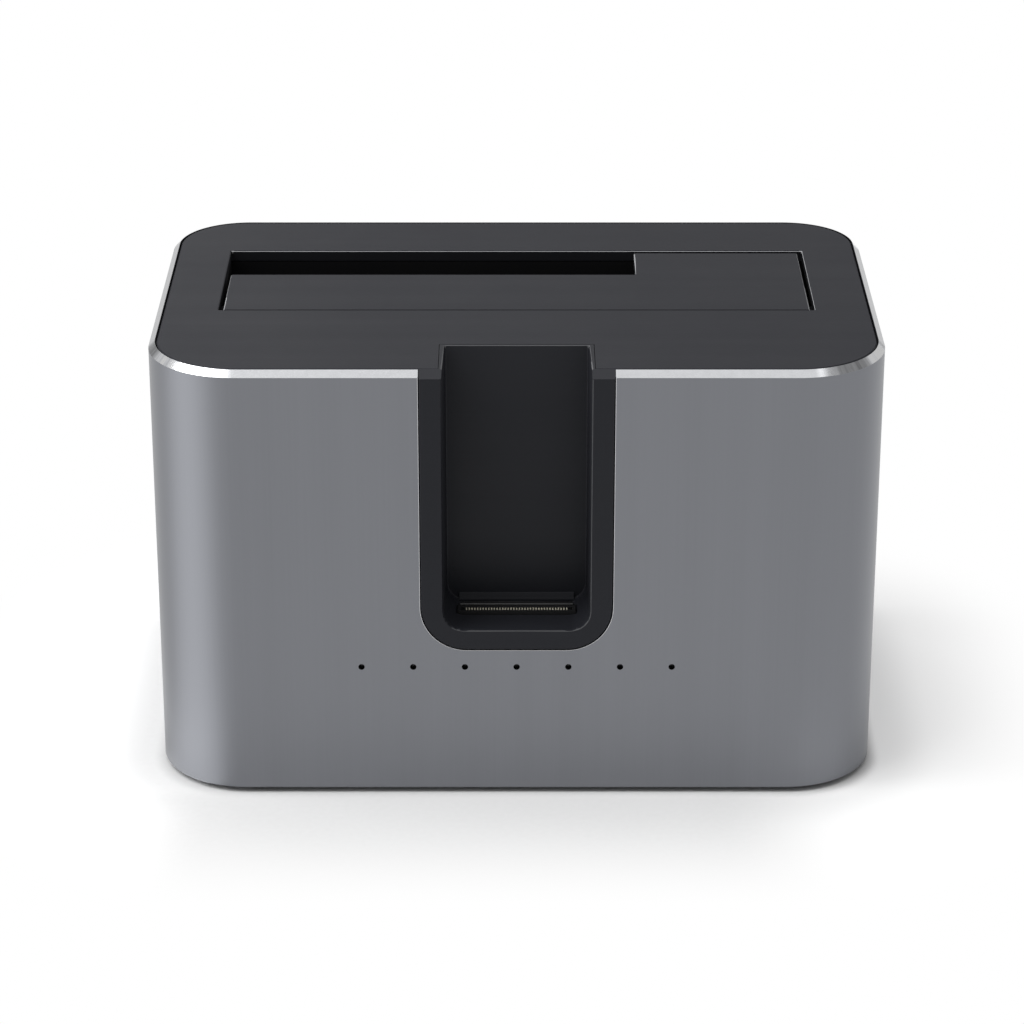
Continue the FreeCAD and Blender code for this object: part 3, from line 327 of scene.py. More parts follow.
def new_group(name: str, inputs: dict[str, float],
              outputs: Sequence[str]) -> tuple[Tree, Outputs, Node]:
    """Starts a shader node group with float sockets.

    Args:
        name: The group's name.
        inputs: Each input's name and its usual value.
        outputs: Each output's name.

    Returns:
        The group's tree, its inputs' values and its output node.
    """
    tree = bpy.data.node_groups.new(name, "ShaderNodeTree")
    for key, value in inputs.items():
        socket = tree.interface.new_socket(key, in_out="INPUT", socket_type="NodeSocketFloat")
        socket.default_value = value
    for key in outputs:
        tree.interface.new_socket(key, in_out="OUTPUT", socket_type="NodeSocketFloat")
    maker = Tree(tree)
    return maker, maker.add("NodeGroupInput").outputs, maker.add("NodeGroupOutput")


class Effects:
    """The shader node groups that several finishes share."""

    _groups: dict[str, NodeTree] = {}

    @classmethod
    def _grain(cls) -> NodeTree:
        """Builds the fine pebbled grain of a spark-eroded mould.

        Returns:
            The group's tree.
        """
        tree, given, out = new_group("moulded_grain", {"Scale": 2600.0, "Patch Scale": 60.0},
                                     ("Height", "Patches"))
        where = tree.add("TexCoord").outputs["Object"]
        pebble = tree.add("TexVoronoi", feature="SMOOTH_F1")
        tree.give(pebble, Vector=where, Scale=given["Scale"])
        height = tree.line(pebble.outputs["Distance"], 0.6, tree.noise(where, given["Scale"], 3.0))
        tree.give(out, Height=height, Patches=tree.noise(where, given["Patch Scale"], 3.0))
        return tree.tree

    @classmethod
    def _streaks(cls) -> NodeTree:
        """Builds long soft streaks: fine ones and broad bands, across the X, Y and Z stretches.

        Returns:
            The group's tree.
        """
        names = {"Along X": 1.0, "Along Y": 1.0, "Along Z": 1.0, "Fine Scale": 900.0, "Band Scale": 70.0}
        tree, given, out = new_group("long_streaks", names, ("Fine", "Bands"))
        stretch = tree.fed("CombineXYZ", *(given["Along " + axis] for axis in "XYZ")).outputs[0]
        where = tree.add("TexCoord").outputs["Object"]
        drawn = tree.fed("VectorMath", where, stretch, operation="MULTIPLY").outputs[0]
        tree.give(out, Fine=tree.noise(drawn, given["Fine Scale"], 4.0),
                  Bands=tree.noise(drawn, given["Band Scale"]))
        return tree.tree

    @classmethod
    def _handling(cls) -> NodeTree:
        """Builds the faint cloudy marks that handling leaves on a satin surface.

        Returns:
            The group's tree.
        """
        tree, given, out = new_group("handling_marks", {"Scale": 28.0, "Sharpness": 0.2}, ("Marks",))
        cloud = tree.noise(tree.add("TexCoord").outputs["Object"], given["Scale"], 5.0, 0.65)
        low, high = (tree.math(step, 0.55, given["Sharpness"]) for step in ("SUBTRACT", "ADD"))
        tree.join(tree.span(cloud, low, high, smooth=True), out.inputs["Marks"])
        return tree.tree

    @classmethod
    def _edges(cls) -> NodeTree:
        """Builds the mask of chamfers, by their tilt, and the painted shade of walls and of all below the
        surface.

        Returns:
            The group's tree.
        """
        tree, given, out = new_group("chamfers_and_painted_shade", {"Walls": 1.0, "Surface": 0.0},
                                     ("Chamfers", "Wall Shade"))
        most = 0.0
        for axis in "XYZ":
            most = tree.math("MAXIMUM", most, tree.plain(tree.way(axis)))
        depth = tree.math("SUBTRACT", given["Surface"], tree.at("Z"))
        # Painted shade: walls, and all more than half a millimetre below the surface, keep only the Walls
        # share of their colour.
        side = tree.math("MAXIMUM", tree.under(tree.plain(tree.way("Z")), 0.3), tree.over(depth, 0.0005))
        tree.give(out, Chamfers=tree.under(most, 0.87), Wall_Shade=tree.between(side, 1.0, given["Walls"]))
        return tree.tree

    @classmethod
    def _field(cls) -> NodeTree:
        """Builds the mask of a block of space, between two places along each axis.

        Returns:
            The group's tree.
        """
        names = {"%s %s" % (axis, end): value
                 for axis in "XYZ" for end, value in (("From", -1.0), ("To", 1.0))}
        tree, given, out = new_group("field", names, ("Inside",))
        inside = []
        for axis in "XYZ":
            inside.append(tree.over(tree.at(axis), given[axis + " From"]))
            inside.append(tree.under(tree.at(axis), given[axis + " To"]))
        tree.give(out, Inside=tree.product(*inside))
        return tree.tree

    @classmethod
    def place(cls, tree: Tree, name: str, **values: float) -> Outputs:
        """Puts one of the shared effects into a material.

        Args:
            tree: The material's tree.
            name: grain, streaks, handling, edges or field.
            **values: The group's inputs, with underscores for the spaces in their names.

        Returns:
            The group node's outputs.
        """
        if name not in cls._groups:
            cls._groups[name] = getattr(cls, "_" + name)()
        node = tree.add("Group", node_tree=cls._groups[name])
        tree.give(node, **values)
        return node.outputs


def bump(tree: Tree, shader: Node, height: Socket, depth: float) -> None:
    """Feeds a height into the shader's normal.

    Args:
        tree: The material's tree.
        shader: The Principled shader.
        height: The height's socket.
        depth: Depth of the relief in metres.
    """
    node = tree.add("Bump")
    tree.give(node, Strength=1.0, Distance=depth, Height=height)
    tree.give(shader, Normal=node.outputs["Normal"])


@dataclass(frozen=True)
class Finish:
    """The look of a surface, as one procedural material."""

    name: str

    def build(self) -> Material:
        """Draws the look into a new material.

        Returns:
            The finished material.
        """
        material = bpy.data.materials.new(self.name)
        material.use_nodes = True
        material.node_tree.nodes.clear()
        tree = Tree(material.node_tree)
        shader = tree.add("BsdfPrincipled")
        tree.fed("OutputMaterial", shader.outputs[0])
        self.paint(tree, shader)
        return material

    def paint(self, tree: Tree, shader: Node) -> None:
        """Draws the look into the shader. Each finish has its own way.

        Args:
            tree: The material's tree.
            shader: The Principled shader.
        """
        raise NotImplementedError


@dataclass(frozen=True)
class AnodisedSleeve(Finish):
    """Grey anodised aluminium, drawn upright, with a bright machined rim and cut-out edge, painted highlights
    on the rim's corners and painted shade in the pin holes.
    """

    name: str = "anodised_sleeve"
    colour: Colour = (0.2, 0.206, 0.223)
    bright: Colour = (0.36, 0.364, 0.375)
    edge: Colour = (0.9, 0.9, 0.92)
    # Near-black painted shade for the pin holes' walls.
    bore_shade: Colour = (0.01, 0.01, 0.01)
    roughness: float = 0.36
    bright_roughness: float = 0.2
    rim_level: float = 0.0
    cutout_half: float = 0.0
    cutout_bottom: float = 0.0
    corner_radius: float = 0.0
    half_width: float = 0.0
    half_depth: float = 0.0
    hole_level: float = 0.0

    def paint(self, tree: Tree, shader: Node) -> None:
        """Draws the look into the shader.

        Args:
            tree: The material's tree.
            shader: The Principled shader.
        """
        streaks = Effects.place(tree, "streaks", Along_X=1.0, Along_Y=1.0, Along_Z=0.012, Fine_Scale=2200.0,
                                Band_Scale=150.0)
        handling = Effects.place(tree, "handling", Scale=22.0, Sharpness=0.3)
        fine = tree.span(streaks["Fine"], 0.3, 0.7, 0.988, 1.012)
        bands = tree.span(streaks["Bands"], 0.3, 0.7, 0.985, 1.015)
        clouds = tree.span(handling["Marks"], 0.0, 1.0, 0.99, 1.01)
        rim = tree.product(tree.over(tree.at("Z"), self.rim_level), tree.over(tree.way("Z"), 0.3))
        body = tree.tone(tree.product(fine, bands, clouds), self.colour)
        # Painted shade: the pin holes' walls are coloured near-black.
        body = tree.mix(self._painted_bore_shade(tree), body, rgba(self.bore_shade))
        body = tree.mix(self._cutout_edge(tree), body, rgba(self.edge))
        milled_and_highlit = tree.tone(self._milling_and_highlights(tree), self.bright)
        satin = tree.line(streaks["Fine"], 0.06, self.roughness - 0.03)
        satin = tree.line(handling["Marks"], 0.02, satin)
        tree.give(shader, Base_Color=tree.mix(rim, body, milled_and_highlit), Metallic=1.0,
                  Roughness=tree.span(rim, 0.0, 1.0, satin, self.bright_roughness))
        bump(tree, shader, streaks["Fine"], 0.000002)

    def _cutout_edge(self, tree: Tree) -> Socket:
        """Masks the fine bright edge round the cut-out.

        Args:
            tree: The material's tree.

        Returns:
            The mask's socket.
        """
        return tree.product(tree.under(tree.plain(tree.at("X")), self.cutout_half),
                            tree.over(tree.at("Z"), self.cutout_bottom),
                            tree.under(tree.at("Y"), -self.half_depth + 0.0003),
                            tree.over(tree.way("Y"), -0.97))

    def _painted_bore_shade(self, tree: Tree) -> Socket:
        """Masks the pin holes' walls, which get no light, for a painted shade.

        Args:
            tree: The material's tree.

        Returns:
            The mask's socket.
        """
        level = tree.plain(tree.math("SUBTRACT", tree.at("Z"), self.hole_level))
        beside = tree.under(tree.plain(tree.at("X")), self.half_width - self.corner_radius)
        return tree.product(tree.under(level, 0.0008), tree.over(tree.way("Y"), -0.5),
                            tree.under(tree.at("Y"), -self.half_depth + 0.0026), beside)

    def _milling_and_highlights(self, tree: Tree) -> Socket:
        """Shades the rim with the cutter's marks, which fan out round its corners, and with painted
        highlights over set angles of each corner's arc.

        Args:
            tree: The material's tree.

        Returns:
            The shade's socket.
        """
        across = tree.math("SUBTRACT", tree.plain(tree.at("X")), self.half_width - self.corner_radius)
        deep = tree.math("SUBTRACT", tree.plain(tree.at("Y")), self.half_depth - self.corner_radius)
        angle = tree.math("DEGREES", tree.math("ARCTAN2", deep, across))
        rightward = tree.over(tree.at("X"), 0.0)
        turned = tree.fed("CombineXYZ", tree.product(angle, 0.16), rightward).outputs[0]
        marks = tree.span(tree.noise(turned, 1.0, 3.0, 0.7), 0.36, 0.62, 0.7, 1.25)
        lines = tree.noise(tree.place(), 900.0, 2.0)
        # Painted highlights: each corner's arc is brightened over set angles, placed differently on the left
        # and the right corner.
        left = tree.line(self._arc(tree, angle, 20.0, 30.0, 70.0, 80.0), 1.7, 1.0)
        right = tree.line(self._arc(tree, angle, 62.0, 67.0, 75.0, 80.0), 0.5, 1.0)
        right = tree.line(self._arc(tree, angle, 4.0, 12.0, 30.0, 42.0), 2.0, right)
        streaked = tree.between(self._arc(tree, angle, 8.0, 14.0, 62.0, 68.0), 1.0, marks)
        shade = tree.product(streaked, tree.between(rightward, left, right))
        corner = tree.product(tree.over(across, 0.0), tree.over(deep, 0.0))
        return tree.product(tree.between(corner, 1.0, shade), tree.span(lines, 0.3, 0.7, 0.97, 1.03))

    @staticmethod
    def _arc(tree: Tree, angle: Socket, rise: float, high: float, low: float,
             end: float) -> Socket:
        """Returns a soft mask of the corner's arc between four angles, in degrees."""
        falling = tree.span(angle, low, end, 1.0, 0.0, smooth=True)
        return tree.product(tree.span(angle, rise, high, smooth=True), falling)


@dataclass(frozen=True)
class PaintedHighlight:
    """A stretch of chamfered edge with a painted highlight, between two corners in millimetres."""

    colour: Colour
    low: Point
    high: Point

    def mask(self, tree: Tree, chamfers: Socket) -> Socket:
        """Masks the stretch that gets the painted highlight.

        Args:
            tree: The material's tree.
            chamfers: The mask of all chamfers.

        Returns:
            The mask's socket.
        """
        ends = {}
        for axis, low, high in zip("XYZ", self.low, self.high):
            ends[axis + "_From"], ends[axis + "_To"] = low * MM, high * MM
        field = Effects.place(tree, "field", **ends)
        return tree.math("MULTIPLY", chamfers, field["Inside"])


@dataclass(frozen=True)
class MouldedPlastic(Finish):
    """Moulded plastic with a spark-eroded grain, flow streaks, handling marks, painted highlights on chosen
    chamfers and painted shade on walls and below the surface.
    """

    colour: Colour
    roughness: float = 0.45
    specular: float = 0.35
    grain_scale: float = 2600.0
    grain_depth: float = 0.00001
    streak: float = 0.06
    fade: float = 0.15
    # Painted highlights on chosen chamfers.
    painted_highlights: tuple[PaintedHighlight, ...] = ()
    # Share of the colour kept on walls and on all below the surface: a painted shade.
    walls: float = 1.0
    surface: float = 0.0
    sheen: Colour = (1.0, 1.0, 1.0)

    def paint(self, tree: Tree, shader: Node) -> None:
        """Draws the look into the shader.

        Args:
            tree: The material's tree.
            shader: The Principled shader.
        """
        grain = Effects.place(tree, "grain", Scale=self.grain_scale, Patch_Scale=55.0)
        streaks = Effects.place(tree, "streaks", Along_X=0.03, Along_Y=1.0, Along_Z=1.0, Fine_Scale=1300.0,
                                Band_Scale=160.0)
        handling = Effects.place(tree, "handling", Scale=26.0, Sharpness=0.25)
        edges = Effects.place(tree, "edges", Walls=self.walls, Surface=self.surface)
        shade = tree.line(streaks["Fine"], 2 * self.streak, 1.0 - self.streak)
        shade = tree.line(grain["Patches"], self.fade, shade)
        # Painted shade darkens walls and all below the surface; painted highlights then lighten the chosen
        # chamfers.
        body = tree.tone(tree.product(shade, edges["Wall Shade"]), self.colour)
        for edge in self.painted_highlights:
            body = tree.mix(edge.mask(tree, edges["Chamfers"]), body, rgba(edge.colour))
        rough = tree.line(streaks["Bands"], 0.08, self.roughness - 0.04)
        rough = tree.line(handling["Marks"], 0.05, rough)
        dull_in_painted_shade = tree.math("SUBTRACT", 1.0, edges["Wall Shade"])
        tree.give(shader, Base_Color=body, Roughness=tree.line(dull_in_painted_shade, 0.5, rough),
                  Specular_IOR_Level=self.specular, Specular_Tint=rgba(self.sheen))
        bump(tree, shader, grain["Height"], self.grain_depth)


@dataclass(frozen=True)
class PlatedMetal(Finish):
    """Plated or bare metal with drawn lines and small differences in gloss."""

    colour: Colour
    roughness: float = 0.28
    line_scale: float = 3000.0
    line_depth: float = 0.000002
    tint: float = 0.12
    metallic: float = 1.0

    def paint(self, tree: Tree, shader: Node) -> None:
        """Draws the look into the shader.

        Args:
            tree: The material's tree.
            shader: The Principled shader.
        """
        streaks = Effects.place(tree, "streaks", Along_X=1.0, Along_Y=0.1, Along_Z=1.0,
                                Fine_Scale=self.line_scale, Band_Scale=400.0)
        handling = Effects.place(tree, "handling", Scale=160.0, Sharpness=0.25)
        shade = tree.line(streaks["Bands"], self.tint, 1.0 - self.tint / 2)
        rough = tree.line(streaks["Fine"], 0.12, self.roughness - 0.06)
        rough = tree.line(handling["Marks"], 0.08, rough)
        tree.give(shader, Base_Color=tree.tone(shade, self.colour), Roughness=rough, Metallic=self.metallic)
        bump(tree, shader, streaks["Fine"], self.line_depth)


@dataclass(frozen=True)
class SoftRubber(Finish):
    """Matt moulded rubber with a coarse grain and pale rubbed patches."""

    name: str = "foot_rubber"
    colour: Colour = (0.018, 0.018, 0.019)
    rubbed: Colour = (0.05, 0.05, 0.052)

    def paint(self, tree: Tree, shader: Node) -> None:
        """Draws the look into the shader.

        Args:
            tree: The material's tree.
            shader: The Principled shader.
        """
        grain = Effects.place(tree, "grain", Scale=1500.0, Patch_Scale=300.0)
        handling = Effects.place(tree, "handling", Scale=240.0, Sharpness=0.15)
        mask = tree.product(handling["Marks"], 0.6)
        tree.give(shader, Base_Color=tree.mix(mask, rgba(self.colour), rgba(self.rubbed)),
                  Specular_IOR_Level=0.3, Roughness=tree.line(grain["Patches"], 0.2, 0.65))
        bump(tree, shader, grain["Height"], 0.00003)


@dataclass(frozen=True)
class BoardLaminate(Finish):
    """Circuit board: solder mask over weave, with copper tracks that show through and bare pads."""

    name: str = "board_laminate"
    mask: Colour = (0.006, 0.045, 0.022)
    over_copper: Colour = (0.015, 0.085, 0.04)
    pad: Colour = (0.72, 0.55, 0.28)
    track_pitch: float = 0.0016

    def paint(self, tree: Tree, shader: Node) -> None:
        """Draws the look into the shader.

        Args:
            tree: The material's tree.
            shader: The Principled shader.
        """
        where = tree.place((1.0 / self.track_pitch,) * 3)
        cells = tree.add("TexVoronoi", feature="F1", distance="CHEBYCHEV")
        tree.give(cells, Scale=0.35, Vector=where)
        across = tree.fed("VectorMath", where, cells.outputs["Position"], operation="ADD")
        lines = tree.add("TexWave", wave_type="BANDS", bands_direction="Y")
        tree.give(lines, Scale=0.3, Distortion=0.0, Vector=across.outputs[0])
        track = tree.span(lines.outputs["Fac"], 0.55, 0.65)
        dots = tree.add("TexVoronoi", feature="F1")
        tree.give(dots, Scale=0.45, Randomness=0.8, Vector=where)
        pads = tree.under(dots.outputs["Distance"], 0.13)
        green = tree.mix(track, rgba(self.mask), rgba(self.over_copper))
        tree.give(shader, Base_Color=tree.mix(pads, green, rgba(self.pad)), Metallic=pads,
                  Roughness=tree.line(track, 0.08, 0.3))
        bump(tree, shader, track, 0.00003)


@dataclass(frozen=True)
class MouldedResin(Finish):
    """Black moulded resin of a chip, with a fine sparkle."""

    name: str = "chip_resin"
    colour: Colour = (0.016, 0.016, 0.017)

    def paint(self, tree: Tree, shader: Node) -> None:
        """Draws the look into the shader.

        Args:
            tree: The material's tree.
            shader: The Principled shader.
        """
        grain = Effects.place(tree, "grain", Scale=5200.0, Patch_Scale=420.0)
        bright = tree.span(grain["Patches"], 0.3, 0.7, 0.85, 1.25)
        tree.give(shader, Base_Color=tree.tone(bright, self.colour),
                  Roughness=tree.line(grain["Patches"], 0.15, 0.45))
        bump(tree, shader, grain["Height"], 0.000012)


@dataclass(frozen=True)
class ClearPlastic(Finish):
    """Clear cast plastic with slight haze, for the light guide and the lights."""

    colour: Colour
    transmission: float = 0.6
    roughness: float = 0.18

    def paint(self, tree: Tree, shader: Node) -> None:
        """Draws the look into the shader.

        Args:
            tree: The material's tree.
            shader: The Principled shader.
        """
        handling = Effects.place(tree, "handling", Scale=300.0, Sharpness=0.3)
        shade = tree.span(handling["Marks"], 0.0, 1.0, 0.9, 1.1)
        tree.give(shader, Base_Color=tree.tone(shade, self.colour), Transmission_Weight=self.transmission,
                  IOR=1.49, Roughness=tree.line(handling["Marks"], 0.1, self.roughness))


class Pick(Enum):
    """What a selection is made of."""

    CORNERS = "VERT"
    EDGES = "EDGE"
    FACES = "FACE"


Test = Callable[[Vector, Vector], bool]


def put_down() -> None:
    """Leaves edit mode and deselects everything."""
    if bpy.context.mode != "OBJECT":
        bpy.ops.object.mode_set(mode="OBJECT")
    bpy.ops.object.select_all(action="DESELECT")


def take_all() -> None:
    """Selects the whole mesh in edit mode."""
    bpy.ops.mesh.select_all(action="SELECT")


class Workpiece:
    """One mesh on the bench. Each method is one step of modelling it by hand."""

    def __init__(self, name: str, thing: bpy.types.Object) -> None:
        """Takes an object in hand.

        Args:
            name: The piece's name.
            thing: Its object.
        """
        thing.name = name
        thing.data.name = name
        self.name = name
        self.thing = thing

    @classmethod
    def sheet(cls, name: str, low: Point, high: Point) -> "Workpiece":
        """Starts from a level plane between two corners, both at the height of low.

        Args:
            name: The piece's name.
            low: Its lowest corner.
            high: Its highest corner.

        Returns:
            The piece in hand.
        """
        put_down()
        middle = ((low[0] + high[0]) / 2, (low[1] + high[1]) / 2, low[2])
        bpy.ops.mesh.primitive_plane_add(size=1.0, location=middle)
        return cls(name, bpy.context.object).sized((high[0] - low[0], high[1] - low[1], 1.0))

    @classmethod
    def block(cls, name: str, low: Point, high: Point) -> "Workpiece":
        """Starts from a block between two corners.

        Args:
            name: The piece's name.
            low: Its lowest corner.
            high: Its highest corner.

        Returns:
            The piece in hand.
        """
        put_down()
        middle = tuple((a + b) / 2 for a, b in zip(low, high))
        bpy.ops.mesh.primitive_cube_add(size=1.0, location=middle)
        return cls(name, bpy.context.object).sized(tuple(b - a for a, b in zip(low, high)))

    @classmethod
    def disc(cls, name: str, radius: float, length: float, middle: Point, along: Axis = Axis.UP,
             sides: int = 32) -> "Workpiece":
        """Starts from a round bar.

        Args:
            name: The piece's name.
            radius: The bar's radius.
            length: The bar's length.
            middle: The bar's centre.
            along: The bar's direction.
            sides: Flats round the bar.

        Returns:
            The piece in hand.
        """
        put_down()
        quarter = math.pi / 2
        turn = {Axis.UP: (0.0, 0.0, 0.0), Axis.DEEP: (quarter, 0.0, 0.0), Axis.ACROSS: (0.0, quarter, 0.0)}
        bpy.ops.mesh.primitive_cylinder_add(vertices=sides, radius=radius, depth=length, location=middle,
                                            rotation=turn[along])
        return cls(name, bpy.context.object).sized()

    @classmethod
    def softened(cls, name: str, node: str) -> "Workpiece":
        """Starts from a merged copy of a CAD node, with its flat faces made whole.

        Args:
            name: The piece's name.
            node: The CAD node.

        Returns:
            The piece in hand.
        """
        put_down()
        thing = bpy.data.objects.new(name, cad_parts[node].data.copy())
        bpy.context.collection.objects.link(thing)
        piece = cls(name, thing)
        piece.edit()
        take_all()
        bpy.ops.mesh.remove_doubles(threshold=MERGE)
        bpy.ops.mesh.dissolve_limited(angle_limit=math.radians(0.4))
        return piece

    def sized(self, size: Point = (1.0, 1.0, 1.0)) -> "Workpiece":
        """Stretches the start to its size and puts its place into its mesh.

        Args:
            size: The stretch along each axis.

        Returns:
            This piece.
        """
        self.thing.scale = size
        self.hold()
        bpy.ops.object.transform_apply(location=True, rotation=True, scale=True)
        return self

    def hold(self) -> None:
        """Leaves edit mode, with this piece alone selected."""
        put_down()
        self.thing.select_set(True)
        bpy.context.view_layer.objects.active = self.thing

    def edit(self) -> None:
        """Goes into edit mode on this piece alone."""
        self.hold()
        bpy.ops.object.mode_set(mode="EDIT")

    def pick(self, kind: Pick, test: Test) -> "Workpiece":
        """Selects what passes a test of its place and direction.

        Args:
            kind: Corners, edges or faces.
            test: Takes the middle and the normal, or an edge's direction, and says whether it is wanted.

        Returns:
            This piece.
        """
        if bpy.context.mode != "EDIT_MESH":
            self.edit()
        bpy.ops.mesh.select_mode(type=kind.value)
        bpy.ops.mesh.select_all(action="DESELECT")
        shape = bmesh.from_edit_mesh(self.thing.data)
        if kind is Pick.CORNERS:
            found = [corner for corner in shape.verts if test(corner.co, corner.normal)]
        elif kind is Pick.EDGES:
            found = [edge for edge in shape.edges
                     if test((edge.verts[0].co + edge.verts[1].co) / 2,
                             (edge.verts[1].co - edge.verts[0].co).normalized())]
        else:
            found = [face for face in shape.faces if test(face.calc_center_median(), face.normal)]
        for item in found:
            item.select_set(True)
        shape.select_flush_mode()
        bmesh.update_edit_mesh(self.thing.data)
        return self

    def side(self, axis: Axis, way: int = 1, test: Test = lambda place, normal: True) -> "Workpiece":
        """Selects the flat faces that look along an axis.

        Args:
            axis: The axis.
            way: 1 for faces that look along it, -1 for those that look back.
            test: What else a face must pass.

        Returns:
            This piece.
        """
        return self.pick(Pick.FACES, lambda place, normal: way * normal[axis.value] > FLAT
                         and test(place, normal))

    def bevel(self, width: float, steps: int = 3, corners: bool = False) -> "Workpiece":
        """Rounds the selected edges, or corners.

        Args:
            width: Width of the rounding.
            steps: Faces across it.
            corners: Whether corners are rounded, and not edges.

        Returns:
            This piece.
        """
        bpy.ops.mesh.bevel(offset_type="OFFSET", offset=width, segments=steps, profile=0.5,
                           affect="VERTICES" if corners else "EDGES", clamp_overlap=False)
        return self

    def inset(self, width: float, rise: float = 0.0) -> "Workpiece":
        """Insets the selected faces, and lifts what is inside by rise."""
        bpy.ops.mesh.inset(thickness=width, depth=rise, use_even_offset=True, use_boundary=True)
        return self

    def extrude(self, by: Point) -> "Workpiece":
        """Extrudes the selected faces or edges."""
        bpy.ops.mesh.extrude_region_move(TRANSFORM_OT_translate={"value": by})
        return self

    def resize(self, by: Point) -> "Workpiece":
        """Scales the selection about its middle."""
        bpy.ops.transform.resize(value=by)
        return self

    def transform(self, change: Matrix) -> "Workpiece":
        """Turns, moves or stretches the whole mesh."""
        self.thing.data.transform(change)
        return self

    def delete_faces(self) -> "Workpiece":
        """Deletes the selected faces."""
        bpy.ops.mesh.delete(type="FACE")
        return self

    def close_up(self) -> "Workpiece":
        """Merges doubles and turns all faces outwards.

        Returns:
            This piece.
        """
        take_all()
        bpy.ops.mesh.remove_doubles(threshold=MERGE)
        bpy.ops.mesh.normals_make_consistent(inside=False)
        return self

    def modify(self, kind: str, **settings: object) -> "Workpiece":
        """Adds a modifier, sets it and applies it.

        Args:
            kind: The modifier's type.
            **settings: The modifier's settings.

        Returns:
            This piece.
        """
        self.hold()
        modifier = self.thing.modifiers.new(kind.title(), kind)
        for key, value in settings.items():
            setattr(modifier, key, value)
        bpy.ops.object.modifier_apply(modifier=modifier.name)
        return self

    def cut(self, tool: "Workpiece") -> "Workpiece":
        """Cuts a tool's shape out of the piece, and clears the tool away."""
        return self.combine(tool, "DIFFERENCE")

    def combine(self, tool: "Workpiece", operation: str) -> "Workpiece":
        """Combines the piece with a tool by a boolean, and clears the tool away.

        Args:
            tool: The tool in hand.
            operation: The boolean's name in Blender.

        Returns:
            This piece.
        """
        tool.hold()
        self.modify("BOOLEAN", object=tool.thing, operation=operation, solver="EXACT")
        tool.scrap()
        return self

    def copy(self, name: str, by: Point, flip: bool = False) -> "Workpiece":
        """Copies the piece with its own mesh.

        Args:
            name: The copy's name.
            by: How far the copy moves.
            flip: Whether it is turned upside down about its own place first.

        Returns:
            The copy in hand.
        """
        self.hold()
        thing = bpy.data.objects.new(name, self.thing.data.copy())
        bpy.context.collection.objects.link(thing)
        copy = Workpiece(name, thing)
        if flip:
            copy.transform(Matrix.Rotation(math.pi, 4, "X"))
        return copy.transform(Matrix.Translation(by))

    def scrap(self) -> None:
        """Clears the piece away."""
        bpy.data.objects.remove(self.thing, do_unlink=True)

    def rename(self, name: str) -> "Workpiece":
        """Gives the piece another name."""
        self.name = self.thing.name = self.thing.data.name = name
        return self

    def join(self, others: Sequence["Workpiece"]) -> "Workpiece":
        """Joins other pieces into this one.

        Args:
            others: The pieces that join it.

        Returns:
            This piece.
        """
        self.hold()
        for other in others:
            other.thing.select_set(True)
        bpy.ops.object.join()
        return self

    def finish(self, material: Material, body: Body, slot: Slot, *nodes: str,
               angle: float = 30.0) -> "Workpiece":
        """Smooths and dresses the piece, and says where it belongs.

        Args:
            material: Its finish.
            body: The body that it rides on.
            slot: The record's slot that its finish stands for; not used.
            *nodes: The CAD nodes that it replaces.
            angle: Edges sharper than this stay crisp, in degrees.

        Returns:
            The finished piece.
        """
        self.hold()
        bpy.ops.object.shade_smooth_by_angle(angle=math.radians(angle))
        self.modify("WEIGHTED_NORMAL", keep_sharp=True, weight=80)
        self.thing.data.materials.clear()
        self.thing.data.materials.append(material)
        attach(self.thing, body.value)
        if nodes:
            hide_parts(*nodes)
        self.thing.select_set(False)
        log.info("%s: %d faces, rides on %s", self.name, len(self.thing.data.polygons), body.value)
        return self


def scaled(*values: float) -> tuple[float, ...]:
    """Turns millimetres into metres."""
    return tuple(value * MM for value in values)


def dress(name: str, node: str, material: Material, body: Body, slot: Slot, angle: float = 30.0) -> None:
    """Stands a softened copy of a CAD node in its place, finished.

    Args:
        name: The piece's name.
        node: The CAD node.
        material: The piece's finish.
        body: The body that it rides on.
        slot: The record's slot that its finish stands for.
        angle: Edges sharper than this stay crisp, in degrees.
    """
    Workpiece.softened(name, node).finish(material, body, slot, node, angle=angle)


def put_on(material: Material, *nodes: str) -> None:
    """Gives CAD nodes a material.

    Args:
        material: The finished material.
        *nodes: The CAD nodes' names.
    """
    for name in nodes:
        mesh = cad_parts[name].data
        mesh.materials.clear()
        mesh.materials.append(material)
    log.info("%s on %s", material.name, ", ".join(nodes))


